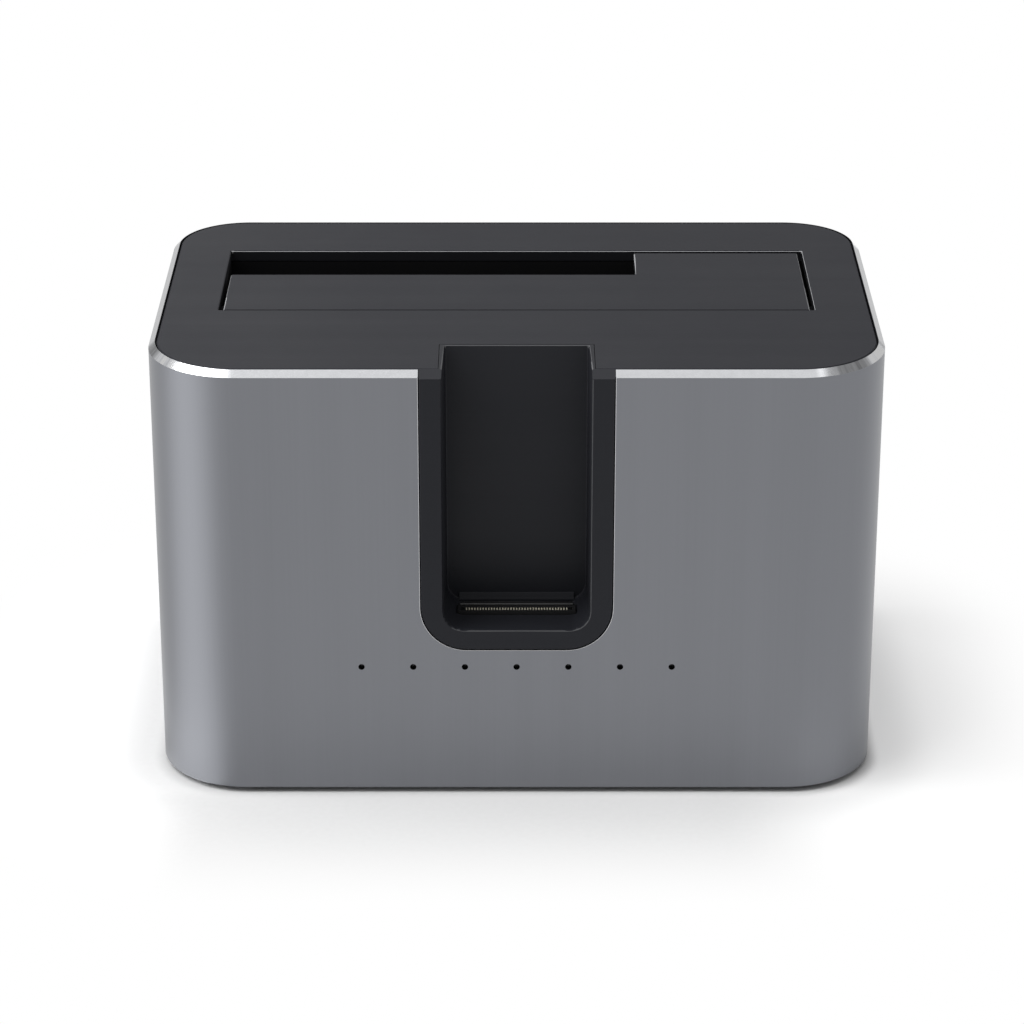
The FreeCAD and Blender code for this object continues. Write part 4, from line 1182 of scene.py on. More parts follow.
@dataclass
class SleeveShell:
    """The extruded aluminium sleeve. Sizes in millimetres."""

    front_radius: float = 16.3
    back_radius: float = 13.7
    wall: float = 2.4
    rim_chamfer: float = 1.13
    rim_land: float = 0.05
    foot_chamfer: float = 0.3
    cover_depth: float = 2.0
    base_depth: float = 2.3
    cutout_half: float = 17.1
    cutout_bottom: float = 28.5
    cutout_radius: float = 8.3
    cutout_chamfer: float = 0.18
    window_half: float = 45.0
    window_low: float = 14.6
    window_high: float = 31.6
    window_radius: float = 3.0
    hole_radius: float = 0.57
    hole_pitch: float = 9.23
    hole_level: float = 25.21
    holes: int = 7
    hole_sides: int = 28
    corner_steps: int = 24
    cutout_steps: int = 20
    window_steps: int = 10

    def build(self) -> None:
        """Models the sleeve and puts it in the node's place."""
        low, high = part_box("sleeve")
        piece = self._tube(low, high)
        piece.cut(self._cutout_tool(low, high)).cut(self._window_tool(high)).cut(self._hole_tool(low))
        piece.edit()
        half, bottom, face = self.cutout_half * MM, self.cutout_bottom * MM, low.y
        piece.pick(Pick.EDGES, lambda place, way: abs(place.y - face) < NEAR / 10
                   and abs(place.x) < half + NEAR
                   and bottom - NEAR < place.z < high.z - self.rim_chamfer * MM)
        piece.bevel(self.cutout_chamfer * MM, 2).close_up()
        reach = self.cutout_chamfer * MM + 12 * NEAR
        finish = AnodisedSleeve(rim_level=high.z - self.rim_chamfer * MM - 4 * NEAR, cutout_half=half + reach,
                                cutout_bottom=bottom - reach, corner_radius=self.front_radius * MM,
                                half_width=high.x, half_depth=high.y, hole_level=self.hole_level * MM)
        piece.finish(finish.build(), Body.HOUSING, Slot.SLEEVE, "sleeve")

    def _tube(self, low: Vector, high: Vector) -> Workpiece:
        """Draws the rounded outline up into a tube with a chamfered rim and two rebates.

        Args:
            low: The sleeve's lowest corner.
            high: The sleeve's highest corner.

        Returns:
            The tube in hand.
        """
        foot, rim, land = self.foot_chamfer * MM, self.rim_chamfer * MM, self.rim_land * MM
        ledge = self.wall * MM - rim - land
        start = low.z + foot
        piece = Workpiece.sheet("aluminium_sleeve", (low.x, low.y, start), (high.x, high.y, start))
        for ahead, radius in ((True, self.front_radius), (False, self.back_radius)):
            piece.pick(Pick.CORNERS, lambda place, way: place.y < 0 if ahead else place.y > high.y - NEAR)
            piece.bevel(radius * MM, self.corner_steps, corners=True)
        top = high.z - rim
        piece.pick(Pick.FACES, lambda place, way: True).extrude((0.0, 0.0, top - start)).close_up()
        piece.side(Axis.UP, 1, lambda place, way: place.z > top - NEAR)
        piece.inset(rim, rim).inset(land).extrude((0.0, 0.0, -self.cover_depth * MM))
        piece.inset(ledge).extrude((0.0, 0.0, -(high.z - low.z - (self.cover_depth + self.base_depth) * MM)))
        piece.delete_faces()
        piece.side(Axis.UP, -1, lambda place, way: place.z < start + NEAR)
        piece.inset(foot, foot).inset(rim + land - foot).extrude((0.0, 0.0, self.base_depth * MM))
        piece.inset(ledge).delete_faces()
        return piece.close_up()

    def _cutout_tool(self, low: Vector, high: Vector) -> Workpiece:
        """Makes the tool that cuts the U in the front.

        Args:
            low: The sleeve's lowest corner.
            high: The sleeve's highest corner.

        Returns:
            The tool in hand.
        """
        half, bottom = self.cutout_half * MM, self.cutout_bottom * MM
        tool = Workpiece.block("cutout_tool", (-half, low.y - MM, bottom),
                               (half, low.y + (self.wall + 1) * MM, high.z + MM))
        tool.pick(Pick.EDGES, lambda place, way: abs(way.y) > FLAT and place.z < bottom + NEAR)
        return tool.bevel(self.cutout_radius * MM, self.cutout_steps)

    def _window_tool(self, high: Vector) -> Workpiece:
        """Makes the tool that cuts the window of the ports at the back.

        Args:
            high: The sleeve's highest corner.

        Returns:
            The tool in hand.
        """
        half = self.window_half * MM
        tool = Workpiece.block("window_tool", (-half, high.y - (self.wall + 1) * MM, self.window_low * MM),
                               (half, high.y + MM, self.window_high * MM))
        tool.pick(Pick.EDGES, lambda place, way: abs(way.y) > FLAT)
        return tool.bevel(self.window_radius * MM, self.window_steps)

    def _hole_tool(self, low: Vector) -> Workpiece:
        """Makes the drills of the pin holes.

        Args:
            low: The sleeve's lowest corner.

        Returns:
            The drills, as one tool.
        """
        drills = []
        for index in range(self.holes):
            across = (index - (self.holes - 1) / 2) * self.hole_pitch * MM
            middle = (across, low.y + self.wall * MM / 2, self.hole_level * MM)
            drills.append(Workpiece.disc("drill_%d" % index, self.hole_radius * MM, (self.wall + 2) * MM,
                                         middle, Axis.DEEP, self.hole_sides))
        return drills[0].join(drills[1:])


@dataclass
class TopDeck:
    """The cover, the sprung flap, its pin and its spring. Sizes in millimetres."""

    top: float = 81.6
    slot_half: float = 53.85
    slot_back: float = 22.95
    hinge_y: float = -9.6
    hinge_z: float = 77.4
    flap_half: float = 52.9
    tab_back: float = 21.6
    opening_right: float = 22.1
    opening_front: float = 9.55
    wire: float = 0.3
    coil_radius: float = 1.35
    coil_pitch: float = 0.6
    coil_turns: int = 4
    coil_steps: int = 32
    coil_start: float = -5.1
    flap_leg: Point = (0.0, 7.0, 0.35)
    cover_leg: Point = (0.0, -2.4, 0.55)
    pin_round: float = 0.12
    pin_land: float = 0.15
    pin_lip: float = 0.1
    # Painted highlights on the chamfers that face the lamps: their width, depth and colour.
    highlight_width: float = 0.3
    highlight_depth: float = 0.5
    shade: Colour = (0.0118, 0.0123, 0.0168)
    highlight_colour: Colour = (0.4, 0.405, 0.42)
    sheen: Colour = (0.9, 0.93, 1.0)

    def build(self) -> None:
        """Models and dresses the top."""
        # The cover and the flap get painted highlights on the chamfers that face the lamps, and painted shade
        # on their walls and on all below the top.
        cover, flap = (MouldedPlastic(name, self.shade, roughness=0.46, specular=0.26, walls=0.33,
                                      surface=self.top * MM, painted_highlights=painted_highlights, sheen=self.sheen).build()
                       for name, painted_highlights in (("cover_plastic", self._slot_edges()),
                                          ("flap_plastic", self._flap_edges())))
        dress("deck_cover", "top_cover", cover, Body.HOUSING, Slot.COVER)
        dress("deck_flap", "drive_flap", flap, Body.FLAP, Slot.FLAP)
        self._pin()
        self._spring()

    def _painted_highlights(self, places: Iterable[tuple[float, float, float, float]]) -> tuple[PaintedHighlight, ...]:
        """Returns the painted highlights on edges near the surface, each between two places across and two in
        depth.
        """
        low, high = self.top - self.highlight_depth, self.top + 0.1
        return tuple(PaintedHighlight(self.highlight_colour, (x0, y0, low), (x1, y1, high)) for x0, x1, y0, y1 in places)

    def _slot_edges(self) -> tuple[PaintedHighlight, ...]:
        """Lists the slot's edges that get a painted highlight: its back and its right side.

        Returns:
            The edges.
        """
        half, back, wide = self.slot_half, self.slot_back, self.highlight_width
        return self._painted_highlights(((-half, half + wide, back - 0.1, back + wide),
                           (half - 0.1, half + wide, self.hinge_y, back)))

    def _flap_edges(self) -> tuple[PaintedHighlight, ...]:
        """Lists the flap's edges that get a painted highlight: both sides, and the tab's left and back.

        Returns:
            The edges.
        """
        half, left, front, back = self.flap_half, self.opening_right, self.opening_front, self.tab_back
        wide = self.highlight_width
        return self._painted_highlights(((-half - 0.1, -half + wide, self.hinge_y, front),
                           (half - wide, half + 0.1, self.hinge_y, back),
                           (left - 0.1, left + wide, front, back), (left, half, back - wide, back + 0.1)))

    def _pin(self) -> None:
        """Models the hinge pin with its rounded ends."""
        low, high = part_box("flap_hinge_pin")
        radius = (high.z - low.z) / 2
        middle = (0.0, self.hinge_y * MM, self.hinge_z * MM)
        piece = Workpiece.disc("hinge_pin", radius, high.x - low.x, middle, Axis.ACROSS, 24)
        piece.pick(Pick.FACES, lambda place, way: abs(way.x) > FLAT)
        piece.inset(self.pin_land * MM).bevel(self.pin_lip * MM, 2)
        piece.pick(Pick.EDGES, lambda place, way: abs(abs(place.x) - high.x) < NEAR
                   and math.hypot(place.y - self.hinge_y * MM, place.z - self.hinge_z * MM) > 0.95 * radius)
        piece.bevel(self.pin_round * MM, 2)
        piece.finish(PlatedMetal("pin_steel", STEEL_TONE).build(), Body.HOUSING, Slot.STEEL, "flap_hinge_pin")

    def _spring(self) -> None:
        """Winds the torsion spring: its coil stays with the cover, and its long leg turns with the flap."""
        steel = PlatedMetal("spring_steel", (0.5, 0.5, 0.52), roughness=0.3).build()
        coil = self._wound("flap_torsion_spring", -self.coil_turns, self.coil_start, self.cover_leg)
        coil.finish(steel, Body.HOUSING, Slot.SPRING, "flap_spring", angle=50.0)
        far = self.coil_start + self.coil_turns * self.coil_pitch
        leg = self._wound("flap_spring_leg", 0.25, far, self.flap_leg)
        leg.finish(steel, Body.FLAP, Slot.SPRING, angle=50.0)

    def _wound(self, name: str, turns: float, start: float, leg: Point) -> Workpiece:
        """Winds wire about the hinge from the coil's top, with a straight leg at that end.

        Args:
            name: The piece's name.
            turns: How far it winds, positive towards the front.
            start: Where along the pin it starts, in millimetres.
            leg: The leg's run, in millimetres.

        Returns:
            The wire in hand.
        """
        put_down()
        bpy.ops.mesh.primitive_circle_add(vertices=12, radius=self.wire * MM,
                                          rotation=(math.pi / 2, 0.0, 0.0))
        piece = Workpiece(name, bpy.context.object).sized()
        piece.edit()
        take_all()
        bpy.ops.transform.translate(value=(0.0, 0.0, self.coil_radius * MM))
        steps = int(self.coil_steps * abs(turns))
        piece.modify("SCREW", axis="X", angle=2 * math.pi * turns, steps=steps, render_steps=steps,
                     screw_offset=-turns * self.coil_pitch * MM, use_smooth_shade=True)
        radius, wire = self.coil_radius * MM, 1.1 * self.wire * MM
        piece.pick(Pick.EDGES, lambda place, way: abs(place.y) < NEAR / 10 and abs(place.x) < wire
                   and abs(place.z - radius) < wire and abs(way.y) < 0.05)
        piece.extrude(scaled(*leg))
        take_all()
        bpy.ops.mesh.fill_holes(sides=0)
        take_all()
        bpy.ops.mesh.normals_make_consistent(inside=False)
        bpy.ops.transform.translate(value=scaled(start, self.hinge_y, self.hinge_z))
        return piece


@dataclass
class FrontBay:
    """The bay's moulding, the M.2 socket in it and the socket's contacts. Sizes in millimetres."""

    top: float = 81.6
    floor: float = 32.4
    front: float = 41.0
    bezel_half: float = 17.1
    bezel_back: float = -39.3
    mouth_half: float = 13.4
    shade: Colour = (0.0175, 0.0185, 0.023)
    # Painted highlights: on the bezel's slope, on the mouth's lower lip and right jamb, and on the mouth's
    # edges.
    slope: Colour = (0.034, 0.035, 0.041)
    lip_highlight: Colour = (0.075, 0.077, 0.082)
    highlight_colour: Colour = (0.16, 0.162, 0.17)
    bezel_slope: float = 1.5
    edge_reach: float = 0.5
    jamb_reach: float = 4.0
    face_reach: float = 0.4

    def build(self) -> None:
        """Dresses the bay, with painted highlights on its bezel slope, the mouth's edges, its lower lip and
        its right jamb.
        """
        half, reach, over = self.mouth_half, self.edge_reach, self.top + 0.1
        face, brow = self.face_reach - self.front, self.top - self.bezel_slope
        # Painted highlights, each masked to the chamfers in its block.
        mouth = PaintedHighlight(self.highlight_colour, (-half, self.bezel_back, self.top - reach), (half, 0.0, over))
        slope = PaintedHighlight(self.slope, (-self.bezel_half, -self.front, brow),
                         (self.bezel_half, self.bezel_back, over))
        lip_highlight = PaintedHighlight(self.lip_highlight, (-half, -self.front, self.floor - reach), (half, face, self.floor + reach))
        jamb = PaintedHighlight(self.lip_highlight, (half - self.jamb_reach, -self.front, self.floor + reach),
                        (half, face, brow))
        bay = MouldedPlastic("bay_plastic", self.shade, roughness=0.44, specular=0.19, streak=0.05,
                             painted_highlights=(mouth, slope, lip_highlight, jamb)).build()
        dress("bay_moulding", "m2_bay_housing", bay, Body.HOUSING, Slot.BAY, angle=25.0)
        socket = MouldedPlastic("socket_plastic", (0.016, 0.0162, 0.017), roughness=0.34, specular=0.4,
                                grain_scale=5200.0, grain_depth=0.000004).build()
        put_on(socket, "m2_socket")
        # Pale, partly diffuse gold, so that the contacts show as bright dots: a painted highlight.
        tips = PlatedMetal("contact_tips_painted_glint", (0.98, 0.93, 0.76), roughness=0.4, metallic=0.3).build()
        put_on(tips, "m2_contacts")


def solids_of(node: str, reach: float) -> list[tuple[Vector, Vector]]:
    """Finds a node's separate solids, as seen from above.

    Args:
        node: The CAD node.
        reach: Corners nearer to each other than this belong to one solid, in metres.

    Returns:
        Each solid's lowest and highest corner.
    """
    groups: list[list[Vector]] = []
    for corner in (vertex.co.copy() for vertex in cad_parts[node].data.vertices):
        near = [group for group in groups if math.hypot(corner.x - group[0].x, corner.y - group[0].y) < reach]
        if near:
            near[0].append(corner)
        else:
            groups.append([corner])
    return [(Vector([min(point[i] for point in group) for i in range(3)]),
             Vector([max(point[i] for point in group) for i in range(3)])) for group in groups]


@dataclass
class ScrewSet:
    """The cross-recess screws. One is modelled and copied to every place. Sizes in millimetres."""

    head_radius: float = 2.3
    head_height: float = 1.6
    shank_radius: float = 1.2
    length: float = 8.0
    threads: int = 12
    thread_waist: float = 0.8
    head_round: float = 0.45
    recess: float = 2.5
    recess_depth: float = 0.9
    recess_taper: float = 0.55
    slot: float = 0.55

    def build(self) -> None:
        """Models the screw and stands its copies in the three nodes of screws."""
        steel = PlatedMetal("screw_steel", STEEL_TONE).build()
        model = self._model()
        for node, heads_up in (("base_screws", False), ("cover_screws", False), ("board_screws", True)):
            self._stand(model, node, heads_up, steel)
        model.scrap()

    def _model(self) -> Workpiece:
        """Models one screw: its seat at the origin, its head below and its shank above.

        Returns:
            The screw in hand.
        """
        head, tall = self.head_radius * MM, self.head_height * MM
        piece = Workpiece.disc("screw_model", head, tall, (0.0, 0.0, -tall / 2), Axis.UP, 20)
        piece.pick(Pick.EDGES, lambda place, way: place.z < -tall + NEAR).bevel(self.head_round * MM, 3)
        piece.side(Axis.UP).inset((self.head_radius - self.shank_radius) * MM)
        step = (0.0, 0.0, self.length / self.threads / 2 * MM)
        for waist in [self.thread_waist, 1 / self.thread_waist] * (self.threads - 1) + [0.6, 0.3]:
            piece.extrude(step).resize((waist, waist, 1.0))
        half, slot = self.recess / 2, self.slot / 2
        for wide, deep in ((half, slot), (slot, half)):
            tool = Workpiece.block("recess_tool", scaled(-wide, -deep, -self.head_height - 1),
                                   scaled(wide, deep, self.recess_depth - self.head_height))
            piece.cut(tool.side(Axis.UP).resize((self.recess_taper, self.recess_taper, 1.0)))
        return piece

    def _stand(self, model: Workpiece, node: str, heads_up: bool, steel: Material) -> None:
        """Copies the screw to the place of each of a node's screws.

        Args:
            model: The screw to copy.
            node: The CAD node that the copies replace.
            heads_up: Whether the heads are on top.
            steel: The screws' finish.
        """
        copies = []
        for low, high in solids_of(node, 2.1 * self.head_radius * MM):
            seat = high.z - self.head_height * MM if heads_up else low.z + self.head_height * MM
            place = ((low.x + high.x) / 2, (low.y + high.y) / 2, seat)
            copies.append(model.copy("%s_%d" % (node, len(copies)), place, heads_up))
        copies[0].join(copies[1:]).rename("threaded_" + node).finish(steel, Body.HOUSING, Slot.STEEL, node)


@dataclass
class BaseAndFeet:
    """The base plate and the rubber feet. Sizes in millimetres."""

    foot_radius: float = 6.0
    foot_height: float = 1.7
    tread_inset: float = 1.5
    tread_depth: float = 0.25
    tread_wall: float = 0.2
    tread_rib: float = 0.7
    foot_round: float = 0.35

    def build(self) -> None:
        """Models and dresses the underside."""
        base = MouldedPlastic("base_plastic", (0.02, 0.02, 0.022), roughness=0.6, grain_scale=1500.0,
                              grain_depth=0.00002).build()
        dress("base_tray", "base_plate", base, Body.HOUSING, Slot.BASE)
        self._feet()

    def _feet(self) -> None:
        """Models one foot with its tread and copies it to the other three."""
        rubber = SoftRubber().build()
        tall = self.foot_height * MM
        model = Workpiece.disc("foot_model", self.foot_radius * MM, tall, (0.0, 0.0, tall / 2), Axis.UP, 48)
        model.pick(Pick.EDGES, lambda place, way: place.z < NEAR).bevel(self.foot_round * MM, 3)
        model.side(Axis.UP, -1).inset(self.tread_inset * MM)
        for drop in (self.tread_depth, -self.tread_depth):
            model.inset(self.tread_wall * MM).extrude((0.0, 0.0, drop * MM)).inset(self.tread_rib * MM)
        model.close_up()
        for name in ("front_left", "front_right", "rear_left", "rear_right"):
            low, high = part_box("rubber_foot_" + name)
            middle = (low + high) / 2
            foot = model.copy("foot_" + name, (middle.x, middle.y, 0.0))
            foot.finish(rubber, Body.HOUSING, Slot.FOOT, "rubber_foot_" + name)
        model.scrap()


@dataclass
class RearPanel:
    """The ports, the switch and the button at the back. Sizes in millimetres."""

    mark_radius: float = 1.05
    mark_wall: float = 0.3
    mark_rise: float = 0.03
    mark_reach: float = 14.0
    bar_low: Point = (2.6, -0.6, -1.05)
    bar_high: Point = (2.9, 3.4, 1.05)
    ring_place: Point = (-2.75, 1.4, 0.0)
    pivot: Point = (27.488, 37.15, 23.1)
    rocker_tilt: float = -8.0
    button_radius: float = 3.5
    collar_depth: float = 0.85
    button_round: float = 0.4
    dish: tuple[tuple[float, float], ...] = ((0.3, 0.0), (0.35, 0.12), (0.5, 0.1), (0.7, 0.08))
    contact_pitch: float = 0.5
    contact_half: float = 0.125
    contact_run: tuple[float, float] = (3.2, 0.5)
    contact_rise: float = 0.02
    contacts: int = 12

    def build(self) -> None:
        """Models and dresses the back."""
        panel = MouldedPlastic("panel_plastic", (0.02, 0.02, 0.022), roughness=0.55, grain_scale=1900.0,
                               grain_depth=0.000016).build()
        gloss = MouldedPlastic("rocker_plastic", (0.012, 0.012, 0.013), roughness=0.24, specular=0.5,
                               grain_scale=5000.0, grain_depth=0.000003).build()
        jack = MouldedPlastic("jack_plastic", (0.01, 0.01, 0.011), roughness=0.4).build()
        dress("rear_panel", "port_panel", panel, Body.HOUSING, Slot.PANEL)
        dress("switch_housing", "power_switch_body", panel, Body.HOUSING, Slot.PANEL)
        dress("switch_rocker", "power_rocker", gloss, Body.ROCKER, Slot.ROCKER)
        dress("jack_housing", "dc_jack_body", jack, Body.HOUSING, Slot.CONNECTOR)
        self._button()
        self._usb()
        self._marks()

    def _button(self) -> None:
        """Models the clone button with its finger dish and collar."""
        low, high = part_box("clone_button")
        middle = (low + high) / 2
        collar, deep, round_off = (high.x - low.x) / 2, self.collar_depth * MM, self.button_round * MM
        piece = Workpiece.disc("clone_push_button", collar, deep, (middle.x, low.y + deep / 2, middle.z),
                               Axis.DEEP, 48)
        piece.side(Axis.DEEP).inset(collar - self.button_radius * MM)
        piece.extrude((0.0, high.y - low.y - deep - round_off, 0.0)).inset(round_off, round_off)
        for width, drop in self.dish:
            piece.inset(width * MM, -drop * MM)
        piece.close_up()
        cap = MouldedPlastic("button_plastic", (0.03, 0.03, 0.032), roughness=0.32, specular=0.5).build()
        piece.finish(cap, Body.BUTTON, Slot.BUTTON, "clone_button")
        put_on(cap, "clone_plunger")

    def _usb(self) -> None:
        """Models the USB socket: its drawn shell, and a tongue with contacts on both faces."""
        steel = PlatedMetal("port_steel", (0.6, 0.6, 0.61), roughness=0.25).build()
        dress("usb_shell", "usb_c_shell", steel, Body.HOUSING, Slot.STEEL)
        low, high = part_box("usb_c_tongue")
        middle = (low + high) / 2
        tongue = Workpiece.block("usb_tongue", tuple(low), tuple(high))
        tongue.pick(Pick.EDGES, lambda place, way: place.y > high.y - NEAR or abs(way.y) > FLAT)
        tongue.bevel(0.12 * MM, 2)
        plastic = MouldedPlastic("tongue_plastic", (0.012, 0.012, 0.013), roughness=0.4).build()
        tongue.finish(plastic, Body.HOUSING, Slot.CONNECTOR, "usb_c_tongue")
        pads = []
        wide, rise = self.contact_half * MM, self.contact_rise * MM
        back, front = (high.y - run * MM for run in self.contact_run)
        for side, level in enumerate((low.z, high.z)):
            for index in range(self.contacts):
                across = middle.x + (index - (self.contacts - 1) / 2) * self.contact_pitch * MM
                pad = Workpiece.block("pad_%d_%d" % (side, index), (across - wide, back, level - rise),
                                      (across + wide, front, level + rise))
                pads.append(pad.side(Axis.DEEP).resize((0.6, 1.0, 0.5)))
        gold = PlatedMetal("contact_gold", GOLD_TONE, roughness=0.22).build()
        pads[0].join(pads[1:]).rename("usb_contacts").finish(gold, Body.HOUSING, Slot.CONTACT)

    def _marks(self) -> None:
        """Prints the rocker's on and off marks: a bar and a ring, each on its own half of the cap."""
        white = MouldedPlastic("mark_ink", (0.62, 0.62, 0.6), roughness=0.5, grain_scale=4000.0,
                               grain_depth=0.000003).build()
        bar = Workpiece.block("mark_on", scaled(*self.bar_low), scaled(*self.bar_high))
        bar.pick(Pick.EDGES, lambda place, way: abs(way.y) > FLAT).bevel(0.14 * MM, 3)
        put_down()
        bpy.ops.mesh.primitive_torus_add(major_radius=self.mark_radius * MM,
                                         minor_radius=self.mark_wall / 2 * MM, major_segments=32,
                                         minor_segments=8, rotation=(math.pi / 2, 0.0, 0.0))
        ring = Workpiece("mark_off", bpy.context.object).sized()
        ring.transform(Matrix.Diagonal((1.0, self.mark_reach, 1.0, 1.0)))
        ring.transform(Matrix.Translation(scaled(*self.ring_place)))
        turn = Matrix.Rotation(math.radians(self.rocker_tilt), 4, "Z")
        seat = Matrix.Translation(scaled(*self.pivot)) @ turn
        for mark in (bar, ring):
            self._trim_to_cap(mark.transform(seat))
            mark.finish(white, Body.ROCKER, Slot.ROCKER)

    def _trim_to_cap(self, mark: Workpiece) -> None:
        """Leaves the part of a mark that lies in the rocker's skin, and lifts it by a hair."""
        mark.combine(Workpiece.softened("cap_tool", "power_rocker"), "INTERSECT")
        mark.transform(Matrix.Translation((0.0, self.mark_rise * MM, 0.0)))


@dataclass
class Circuit:
    """The boards and what is on them. Sizes in millimetres."""

    lead_pitch: float = 0.8
    lead_width: float = 0.32
    lead_reach: float = 0.9
    lead_root: float = 0.1
    lead_level: float = 0.45
    lead_shoulder: float = 0.25
    lead_bend: tuple[float, float] = (0.12, 0.36)
    lead_sheet: float = 0.12
    lead_gap: float = 0.03
    lead_margin: float = 0.7
    can_radius: float = 3.15
    can_round: float = 0.38
    can_ridge: float = 0.4
    crimp: tuple[float, ...] = (1.2, 1.6, 2.0)
    crimp_waist: float = 0.93
    score: tuple[float, float] = (2.2, 0.12)

    def build(self) -> None:
        """Models and dresses what is inside."""
        tin = PlatedMetal("lead_tin", (0.66, 0.66, 0.67), roughness=0.35).build()
        # Black plastic for the well, made darker than the other plastics as painted shade in the deep well.
        put_on(MouldedPlastic("well_plastic", (0.0045, 0.0045, 0.005), roughness=0.6, specular=0.12).build(),
               "drive_well")
        put_on(MouldedPlastic("connector_plastic", (0.012, 0.012, 0.013), roughness=0.45).build(),
               "board_link", "sata_socket", "clone_switch_body")
        put_on(PlatedMetal("blade_gold", GOLD_TONE, roughness=0.22).build(), "sata_contacts")
        put_on(PlatedMetal("jack_steel", STEEL_TONE).build(), "dc_jack_contacts")
        put_on(BoardLaminate().build(), "main_board", "front_board")
        put_on(MouldedResin().build(), "bridge_chip", "clone_chip", "power_inductor")
        put_on(ClearPlastic("clear_acrylic", (0.02, 0.02, 0.022)).build(), "light_guide")
        put_on(ClearPlastic("led_epoxy", (0.85, 0.85, 0.75), transmission=0.3).build(), "led_chips")
        crystal = Workpiece.softened("crystal_can", "crystal")
        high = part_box("crystal")[1].z
        crystal.pick(Pick.EDGES, lambda place, way: place.z > high - NEAR).bevel(0.4 * MM, 3)
        crystal.finish(tin, Body.HOUSING, Slot.STEEL, "crystal")
        self._cans()
        for node in ("bridge_chip", "clone_chip"):
            self._leads(node, tin)

    def _cans(self) -> None:
        """Models the capacitors: a can with a crimped foot and a scored top, copied to its places."""
        aluminium = PlatedMetal("capacitor_can", (0.78, 0.78, 0.8), roughness=0.25).build()
        low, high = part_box("capacitors")
        radius, tall, waist = self.can_radius * MM, high.z - low.z, self.crimp_waist
        model = Workpiece.disc("can_model", radius, tall, (0.0, 0.0, tall / 2), Axis.UP, 32)
        model.side(Axis.UP).inset(self.can_ridge * MM)
        model.pick(Pick.EDGES, lambda place, way: place.z > tall - NEAR
                   and math.hypot(place.x, place.y) > 0.97 * radius).bevel(self.can_round * MM, 3)
        model.edit()
        for level in self.crimp:
            take_all()
            bpy.ops.mesh.bisect(plane_co=(0.0, 0.0, level * MM), plane_no=(0.0, 0.0, 1.0))
        model.pick(Pick.CORNERS, lambda place, way: abs(place.z - self.crimp[1] * MM) < NEAR)
        model.resize((waist, waist, 1.0))
        for wide, deep in (scaled(*self.score), scaled(*reversed(self.score))):
            model.cut(Workpiece.block("score_tool", (-wide, -deep, tall - min(wide, deep)),
                                      (wide, deep, tall + MM)))
        cans = []
        for foot, head in solids_of("capacitors", 2.1 * radius):
            middle = ((foot.x + head.x) / 2, (foot.y + head.y) / 2, low.z)
            cans.append(model.copy("can_%d" % len(cans), middle))
        cans[0].join(cans[1:]).rename("capacitor_cans")
        cans[0].finish(aluminium, Body.HOUSING, Slot.CAN, "capacitors")
        model.scrap()

    def _leads(self, node: str, tin: Material) -> None:
        """Puts bent leads round a chip: one lead is modelled and copied along its four sides.

        Args:
            node: The chip's CAD node.
            tin: The leads' finish.
        """
        low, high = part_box(node)
        middle, half = (low + high) / 2, (high.x - low.x) / 2
        width, level = self.lead_width * MM, self.lead_level * MM
        lead = Workpiece.sheet("lead_model", (half - self.lead_root * MM, -width / 2, level),
                               (half + self.lead_shoulder * MM, width / 2, level))
        out, down = self.lead_bend
        for away, drop in ((out, down), (self.lead_reach - self.lead_shoulder - out, 0.0)):
            edge = max(corner.co.x for corner in lead.thing.data.vertices)
            lead.pick(Pick.EDGES, lambda place, way, edge=edge: place.x > edge - NEAR)
            lead.extrude((away * MM, 0.0, -drop * MM)).hold()
        lead.modify("SOLIDIFY", thickness=self.lead_sheet * MM, offset=0.0)
        count = int(2 * (half - self.lead_margin * MM) / (self.lead_pitch * MM)) + 1
        seat = Matrix.Translation((middle.x, middle.y, low.z))
        copies = []
        for quarter in range(4):
            turn = seat @ Matrix.Rotation(quarter * math.pi / 2, 4, "Z")
            for index in range(count):
                along = (index - (count - 1) / 2) * self.lead_pitch * MM
                copy = lead.copy("lead_%d_%d" % (quarter, index), (0.0, along, self.lead_gap * MM))
                copies.append(copy.transform(turn))
        copies[0].join(copies[1:]).rename(node + "_leads").finish(tin, Body.HOUSING, Slot.STEEL)
        lead.scrap()


@dataclass(frozen=True)
class Lamp:
    """One area lamp: its place and size in metres, and its power in watts."""

    name: str
    place: Point
    size: tuple[float, float]
    power: float


